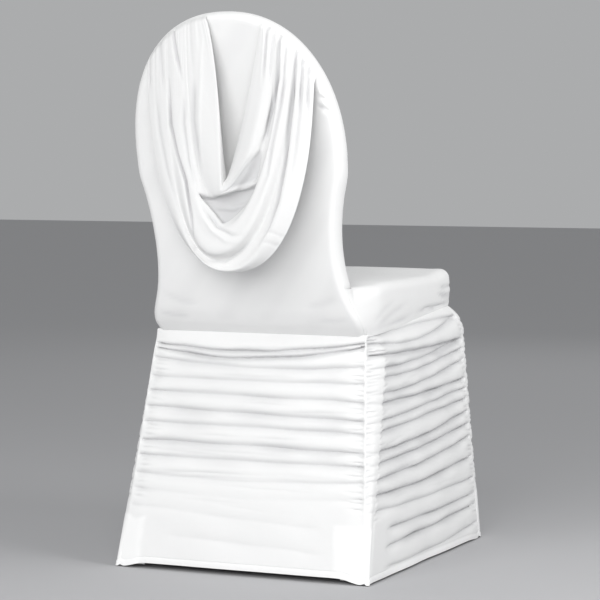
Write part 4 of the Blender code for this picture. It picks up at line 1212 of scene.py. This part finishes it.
def skirt_panel(panel, folds, seed, outward):
    """Gathered panel with its folds, short gathers at the seams, hem band and pocket patch."""
    kind = kind_of(panel)
    place = columns_of(panel)
    half = np.full(place.shape, 0.5)
    along = distances(skirt_plan(panel, place, half, half * 0.0))
    near = np.minimum(along, along[-1] - along)
    top_plan = skirt_plan(panel, place, np.ones(len(place)), np.ones(len(place)))
    top = cinch_height(top_plan[:, 1]) - CINCH_OPEN / 3
    hem = hem_height(panel, near)
    z = hem + (top - hem) * np.concatenate([HEM_ROWS, np.linspace(UPPER_ROWS, 1.0, SKIRT_ROWS)])[:, None]
    pull = np.clip((z - top + CINCH_PULL) / CINCH_PULL, 0.0, 1.0) ** CINCH_POWER
    plan = skirt_plan(panel, np.broadcast_to(place, z.shape), z / top, pull)
    tangent = unit(np.gradient(plan, axis=1))
    normal = to_right(tangent)
    if np.sum(normal * plan) < 0:
        normal = -normal
    rise = fold_rise(kind, place, near, z)
    push = skirt_folds(kind, folds, seed, along, z) * rise * calm_beside_pockets(kind, place, near, z)
    push = push + SEAM_SWELL * ease(near / SEAM_CALM)
    push = push + minor_folds(folds, seed, along, z) * rise * ease((z - 0.1) / 0.03)
    push = seam_gathers(push, kind, seed, place, along, z)
    uneven = 0.0009 * wander(along + z * 0.7, seed + 7, 0.15)
    push = push + uneven * ease(near / 0.04) * ease((0.3 - z) / 0.2)
    push, band = hem_band(push, z - hem)
    pocket = pocket_mask(kind, along, z)
    push = push + POCKET_PROUD * pocket - drawn_in(kind, along, near)
    shift = np.zeros(len(place))
    shift[0] = SEAM / 2
    shift[-1] = -SEAM / 2
    plan = plan + normal * push[..., None] + tangent * shift[:, None]
    # Painted shade in the folds' troughs, scaled per panel; the second mark is the whiter doubled cloth
    marks = shade_marks(push - 0.0004, SHADE_DEPTH, 1)
    marks[..., 0] *= SHADE[kind]
    marks[..., 1] = np.clip(POCKET_WHITE * pocket + BAND_WHITE * band, 0, 1)
    grid = np.concatenate([plan, z[..., None]], axis=-1)
    lip = grid[-1:].copy()
    lip[..., 2] += LIP_UP
    lip[..., :2] -= LIP_IN * normal[-1:]
    patch = Patch()
    patch.grid(np.concatenate([grid, lip]), np.concatenate([marks, marks[-1:]]))
    name = "skirt_" + panel + "_cloth"
    made = piece(name, patch, outward, "skirt_" + panel, cover_cloth)


# Foot pockets

# Rows and points of a pocket, the height of its stitched band and how far a front one reaches, as a
# share of a rear one's reach
POCKET_ROWS = 36
POCKET_POINTS = 41
POCKET_BAND = 0.007
POCKET_FRONT_SHARE = 0.6
FRONT_CORNER_POINTS = 9


def pocket_plan(corner, level):
    """Plan of a foot pocket: round the inside of one corner of the skirt."""
    seam, leg, front = skirt_lines(level, 0.0)
    if corner == "rear":
        along_rear = seam - np.array([POCKET_REACH, 0.0])
        line = [along_rear, seam, leg, leg + unit(front - leg) * POCKET_REACH]
    else:
        turn = FRONT_ROUND
        reach = POCKET_REACH * POCKET_FRONT_SHARE
        middle = front + np.array([-turn, turn])
        line = [front + np.array([0.0, turn + reach])]
        for angle in np.radians(np.linspace(0.0, 90.0, FRONT_CORNER_POINTS)):
            line.append(middle + turn * np.array([np.cos(angle), -np.sin(angle)]))
        line.append(middle + np.array([-reach, -turn]))
    return resample(line, POCKET_POINTS)


def build_pocket(corner, side):
    """Doubled patch inside one lower corner, with a turned and stitched upper edge."""
    grid = np.zeros((POCKET_ROWS, POCKET_POINTS, 3))
    for r in range(POCKET_ROWS):
        z = POCKET_BOTTOM + (POCKET_HEIGHT - POCKET_BOTTOM) * r / (POCKET_ROWS - 1)
        plan = pocket_plan(corner, z / (CINCH_REAR if corner == "rear" else CINCH_FRONT))
        normal = to_right(unit(np.gradient(plan, axis=0)))
        if np.sum(normal * plan) > 0:
            normal = -normal
        ripple = 0.0003 * np.sin(z * 420.0) * np.sin(plan[:, 1] * 300.0)
        band = 0.0005 * (z > POCKET_HEIGHT - POCKET_BAND) + ripple
        where = plan + normal * (CLEAR + POCKET_INSET + band[:, None])
        grid[r] = np.stack([side * where[:, 0], where[:, 1], np.full(POCKET_POINTS, z)], axis=1)
    patch = Patch()
    patch.grid(grid)
    outward = (side, 1.0 if corner == "rear" else -1.0, 0)
    name = "foot_pocket_" + corner + ("_left" if side > 0 else "_right")
    made = piece(name + "_cloth", patch, outward, name, cover_cloth)


# Swag

SWAG_COLUMNS = 240
SWAG_STEPS = 14
# How many points a half line is worked out at
SWAG_HALF_POINTS = 160
# How sharply the swag stands away between its low point and its ends, the share of the way up at
# which its ends begin to, and over what share
SWAG_STAND_POWER = 1.2
SWAG_ENDS_FROM = 0.55
SWAG_ENDS_OVER = 0.4
# How much a line's shift at its left end counts where the rows' places are shared out
SWAG_END_SHARE = 0.8
# Least height of the swag above the hood, and that of its sewn ends
SWAG_OVER_HOOD = 0.0016
SWAG_SEWN_HEIGHT = 0.0013
# How far each of the last columns is drawn down to the hood, to which the ends are sewn
SWAG_SEWN = (1.0, 0.7, 0.28, 0.06)
# Creases of the swag, in x and z: depth, width, points
SWAG_CREASES = (
    (-0.0008, 0.003, ((0.025, 0.905), (0.032, 0.867), (0.037, 0.756), (0.034, 0.69), (0.025, 0.657))),
    (0.003, 0.005, ((0.046, 0.83), (0.049, 0.755), (0.043, 0.707), (0.038, 0.66))),
    (0.0022, 0.004, ((0.066, 0.8), (0.066, 0.748), (0.056, 0.688), (0.038, 0.625))),
    (0.0072, 0.0026, ((0.094, 0.82), (0.091, 0.748), (0.078, 0.699), (0.062, 0.658), (0.05, 0.597),
                      (0.045, 0.54))),
    (0.0024, 0.003, ((0.036, 0.53), (0.016, 0.527), (-0.006, 0.526), (-0.032, 0.541), (-0.058, 0.563))),
    (0.007, 0.0026, ((-0.105, 0.85), (-0.102, 0.82), (-0.09, 0.772), (-0.081, 0.735), (-0.071, 0.71))),
    (0.0018, 0.0032, ((-0.066, 0.705), (-0.046, 0.684), (-0.023, 0.657), (-0.008, 0.642))),
    (0.0016, 0.002, ((0.042, 0.639), (0.02, 0.629), (-0.008, 0.635), (-0.04, 0.645), (-0.068, 0.66))),
    (-0.003, 0.003, ((0.032, 0.622), (0.015, 0.613), (-0.012, 0.611), (-0.03, 0.617), (-0.056, 0.632))),
    (0.003, 0.0024, ((0.027, 0.61), (0.004, 0.584), (-0.024, 0.57), (-0.046, 0.571))),
    (-0.0016, 0.0034, ((0.03, 0.602), (0.011, 0.577), (-0.016, 0.56), (-0.04, 0.56))),
    (0.0022, 0.0034, ((-0.121, 0.842), (-0.106, 0.777), (-0.094, 0.719), (-0.086, 0.666), (-0.068, 0.619))),
    (0.0085, 0.003, ((-0.131, 0.84), (-0.127, 0.799), (-0.12, 0.742), (-0.114, 0.684), (-0.102, 0.623),
                      (-0.087, 0.583), (-0.07, 0.556))),
    (0.002, 0.0034, ((-0.141, 0.835), (-0.138, 0.771), (-0.132, 0.707), (-0.122, 0.643))),
    (0.0014, 0.003, ((-0.15, 0.822), (-0.151, 0.771), (-0.146, 0.707))),
    (0.0014, 0.004, ((0.12, 0.804), (0.114, 0.74), (0.098, 0.674), (0.077, 0.608))),
    (0.001, 0.002, ((-0.08, 0.577), (-0.092, 0.576), (-0.104, 0.569), (-0.116, 0.568))),
    (0.001, 0.002, ((-0.074, 0.56), (-0.086, 0.559), (-0.096, 0.553), (-0.106, 0.558))),
)
# Hollows of the swag, in x and z: depth, width of the soft border, outline
SWAG_HOLLOWS = (
    (0.0105, 0.0036, ((0.04, 0.638), (0.02, 0.629), (-0.008, 0.635), (-0.04, 0.644), (-0.068, 0.657),
                      (-0.063, 0.639), (-0.052, 0.622), (-0.032, 0.605), (-0.016, 0.592), (-0.005, 0.587),
                      (0.009, 0.597), (0.024, 0.614), (0.036, 0.63))),
    (0.0035, 0.006, ((0.019, 0.632), (-0.01, 0.643), (-0.023, 0.657), (-0.046, 0.684), (-0.071, 0.712),
                      (-0.074, 0.7), (-0.07, 0.675), (-0.066, 0.66), (-0.04, 0.646), (-0.008, 0.637))),
)
# Pleats at the gathered ends: x where the pleat starts, x and z where it fades, depth, width
SWAG_PLEATS = (
    (0.136, 0.134, 0.8, 0.003, 0.003),
    (0.112, 0.104, 0.8, 0.0016, 0.004),
    (0.087, 0.069, 0.822, 0.0042, 0.003),
    (0.052, 0.047, 0.82, 0.0012, 0.004),
    (-0.085, -0.076, 0.812, 0.003, 0.0026),
    (-0.094, -0.086, 0.8, 0.0022, 0.0028),
    (-0.105, -0.094, 0.765, 0.004, 0.003),
    (-0.117, -0.106, 0.76, 0.0026, 0.0028),
    (-0.131, -0.123, 0.76, 0.0044, 0.003),
    (-0.142, -0.138, 0.765, 0.0036, 0.003),
    (-0.151, -0.148, 0.76, 0.003, 0.0028),
)


def swag_arc(x):
    """Height of the gathered line along the hood's upper edge at a distance from the middle."""
    half = CROWN_HALF - SWAG_INSET
    tall = HOOD_TOP - CROWN_BASE - SWAG_INSET
    part = np.clip(np.abs(x) / half, 0.0, 1.0)
    return CROWN_BASE + tall * (1 - part ** CROWN_POWER) ** (1 / CROWN_POWER)


def hood_fall(flat):
    """How far the hood's rear face falls away at its rounded edge, at places x, z."""
    line, _ = hood_outline(HOOD_BOTTOM)
    line = line[line[:, 1] > CROWN_BASE - 0.05][::2]
    fall = np.zeros(flat.shape[:2])
    for k, row in enumerate(flat):
        away = np.min(np.linalg.norm(row[:, None] - line, axis=-1), axis=1)
        near = np.clip(1 - away / HOOD_EDGE, 0, 1)
        fall[k] = HOOD_DEPTH / 2 * (1 - np.sqrt(1 - near ** 2))
    return fall


def swag_half(end_x, straight, uneven, settle, ends, half_way, low):
    """Half of a line along the swag, from its low point up to one end."""
    low_x, low_y, low_z = low
    end_z = float(swag_arc(end_x))
    end_y = float(rear_plane(end_z)) + CLEAR
    tau = np.linspace(0.0, np.pi / 2, SWAG_HALF_POINTS)
    up = 1 - np.cos(tau) ** straight
    x = low_x + (end_x - low_x) * np.sin(tau) ** straight
    z = low_z + (end_z - low_z) * up
    rise = up ** SWAG_HANG
    y = SWAG_BELLY + (end_y - SWAG_BELLY) * rise
    y = y + (low_y - SWAG_BELLY) * (1 - up) ** settle
    bulge = np.sin(np.pi * rise) ** SWAG_STAND_POWER
    y = y + (SWAG_STAND + (half_way - SWAG_STAND) * uneven) * bulge
    near_end = ease((up - SWAG_ENDS_FROM) / SWAG_ENDS_OVER)
    y = y + (SWAG_STAND + (ends - SWAG_STAND) * uneven) * near_end
    return np.stack([x, y, z], axis=1)


def swag_row(left_x, right_x, left_straight, right_straight, ends, half_way, *low):
    """One line along the swag, from its left end down and up to its right end."""
    left = swag_half(left_x, left_straight, SWAG_LEFT, SWAG_LEFT_SETTLE, ends, half_way, low)
    right = swag_half(-right_x, right_straight, 1.0, SWAG_SETTLE, ends, half_way, low)
    return resample(np.concatenate([left[::-1], right[1:]]), SWAG_COLUMNS + 1)


def swag_grid():
    """Smooth surface through the swag's lines, and the share of the way across it of each row."""
    lines = np.array(SWAG_LINES, float)
    steps = np.linalg.norm(np.diff(lines[:, 6:9], axis=0), axis=1)
    steps = steps + np.abs(np.diff(lines[:, 0])) * SWAG_END_SHARE
    along = np.concatenate([[0.0], np.cumsum(steps)])
    along /= along[-1]
    shares = [0.0]
    for start, end in zip(along[:-1], along[1:]):
        shares.extend(np.linspace(start, end, SWAG_STEPS + 1)[1:])
    shares = np.array(shares)
    columns = [smooth(shares, list(zip(along, lines[:, k]))) for k in range(lines.shape[1])]
    return np.array([swag_row(*values) for values in zip(*columns)]), shares


def pleat_rows():
    """The pleats as creases that run down from the swag's gathered ends."""
    rows = []
    for start_x, end_x, end_z, depth, width in SWAG_PLEATS:
        top = float(swag_arc(start_x))
        middle = ((start_x * 0.55 + end_x * 0.45), top * 0.5 + end_z * 0.5)
        rows.append((depth, width, ((start_x * 1.004, top + 0.02), (start_x, top), middle, (end_x, end_z))))
    return rows


def build_swag():
    """Draped swag with its long folds, gathered pleats and small creases."""
    grid, shares = swag_grid()
    fall = hood_fall(grid[..., (0, 2)])
    grid[..., 1] -= fall
    normals = grid_normals(grid, (0, 1, 0))
    flat = grid[..., (0, 2)]
    push = crease(flat, SWAG_CREASES) + hollow(flat, SWAG_HOLLOWS) + crease(flat, pleat_rows())
    share = shares[:, None]
    end_near = np.minimum(np.arange(SWAG_COLUMNS + 1), np.arange(SWAG_COLUMNS + 1)[::-1]) / SWAG_COLUMNS
    push = push + 0.0003 * (wander(share, 41, 0.03) * np.exp(-(end_near / 0.09) ** 2))
    push = push + 0.0004 * wander(share + 0.06 * end_near, 43, 0.14)
    edge = np.minimum(share - shares[0], shares[-1] - share)
    push = push * ease(edge / 0.006 + 0.2)
    grid = grid + normals * push[..., None]
    hood = rear_plane(grid[..., 2]) - fall
    grid[..., 1] = np.maximum(grid[..., 1], hood + SWAG_OVER_HOOD)
    for column, sewn in enumerate(SWAG_SEWN):
        for place in (column, SWAG_COLUMNS - column):
            grid[:, place, 1] += sewn * (hood[:, place] + SWAG_SEWN_HEIGHT - grid[:, place, 1])
    patch = Patch()
    # Painted shade in the swag's creases and hollows
    patch.grid(grid, shade_marks(push, 0.006, 0.6))
    made = piece("swag_cloth", patch, (0, 1, 0), "swag", swag_cloth, SWAG_CLOTH)


# All pieces; a skirt panel's folds, seed and outward direction
build_hood_rear()
build_hood_front()
build_seat()
skirt_panel("rear", REAR_FOLDS, 100, (0, 1, 0))
skirt_panel("right", RIGHT_FOLDS, 200, (-1, 0, 0))
skirt_panel("left", LEFT_FOLDS, 300, (1, 0, 0))
skirt_panel("front", FRONT_FOLDS, 400, (0, -1, 0))
for which in ("rear", "front"):
    for hand in (1, -1):
        build_pocket(which, hand)
build_swag()


# Floor, light and camera

# The photo's width and the fitted focal length in pixels, and the sensor's width in millimetres
PHOTO_SIZE = 600.0
FOCAL_PIXELS = 2403.0
SENSOR = 36.0
# Camera: degrees round from straight behind, above level and of roll, its distance and its target
CAMERA_HEADING = 24.5
CAMERA_RISE = 3.96
CAMERA_ROLL = -0.12
CAMERA_DISTANCE = 4.2
CAMERA_TARGET = (0.0066, -CENTRE_Y, 0.4429)
# Lights: name, place, target, width, power
LIGHTS = (
    ("key", (0.1, 3.0, 1.8), (0.0, 0.1, 0.6), 2.2, 45.0),
    ("fill", (-1.6, 0.3, 1.3), (0.0, 0.0, 0.5), 0.9, 14.5),
    ("near_camera", (-1.3, 3.2, 1.2), (0.0, 0.1, 0.6), 1.4, 31.5),
    ("front_fill", (0.6, -3.6, 2.2), (0.0, 0.0, 0.4), 2.4, 8.0),
)
FLOOR_HALF = 14.0
WORLD_COLOUR = (0.8, 0.81, 0.82, 1.0)
WORLD_STRENGTH = 0.51


def add_floor():
    size = FLOOR_HALF
    mesh = bpy.data.meshes.new("floor")
    corners = [(-size, -size, 0), (size, -size, 0), (size, size, 0), (-size, size, 0)]
    mesh.from_pydata(corners, [], [(0, 1, 2, 3)])
    floor = bpy.data.objects.new("floor", mesh)
    bpy.context.collection.objects.link(floor)
    paint, tree, shader = new_material("floor_paint")
    values = {"Base Color": (0.5, 0.5, 0.51, 1.0), "Roughness": 0.9, "Specular IOR Level": 0.2}
    set_inputs(tree, shader, values, {})
    mesh.materials.append(paint)


def set_up(name, data, side, up, away, place):
    """Puts a light or camera at a place, looking opposite to the third direction."""
    made = bpy.data.objects.new(name, data)
    bpy.context.collection.objects.link(made)
    turn = np.eye(4)
    turn[:3] = np.stack([side, up, away, place], axis=1)
    made.matrix_world = Matrix(turn.tolist())
    return made


def add_light(name, place, target, size, power):
    data = bpy.data.lights.new(name, "AREA")
    data.shape = "SQUARE"
    data.size = size
    data.energy = power
    away = unit(np.array(place, float) - np.array(target, float))
    side = unit(np.cross((0, 0, 1), away))
    set_up(name, data, side, np.cross(away, side), away, place)


def add_camera():
    """Camera at the photo's angle: behind the chair, to its right and a little above the seat."""
    heading = np.radians(CAMERA_HEADING)
    rise = np.radians(CAMERA_RISE)
    roll = np.radians(CAMERA_ROLL)
    back = np.array([-np.sin(heading) * np.cos(rise), np.cos(heading) * np.cos(rise), np.sin(rise)])
    right = unit(np.cross(-back, (0, 0, 1)))
    up = np.cross(right, -back)
    side = right * np.cos(roll) + up * np.sin(roll)
    tall = -right * np.sin(roll) + up * np.cos(roll)
    data = bpy.data.cameras.new("camera")
    data.sensor_width = SENSOR
    data.lens = FOCAL_PIXELS / PHOTO_SIZE * SENSOR
    data.clip_end = 60.0
    place = np.array(CAMERA_TARGET) + back * CAMERA_DISTANCE
    bpy.context.scene.camera = set_up("camera", data, side, tall, back, place)


add_floor()
for light in LIGHTS:
    add_light(*light)
add_camera()
world = bpy.data.worlds.new("studio")
bpy.context.scene.world = world
world.use_nodes = True
values = {"Color": WORLD_COLOUR, "Strength": WORLD_STRENGTH}
set_inputs(world.node_tree, world.node_tree.nodes["Background"], values, {})
bpy.context.scene.view_settings.view_transform = "Standard"
bpy.context.scene.view_settings.look = "None"
bpy.context.scene.view_settings.exposure = 0.0
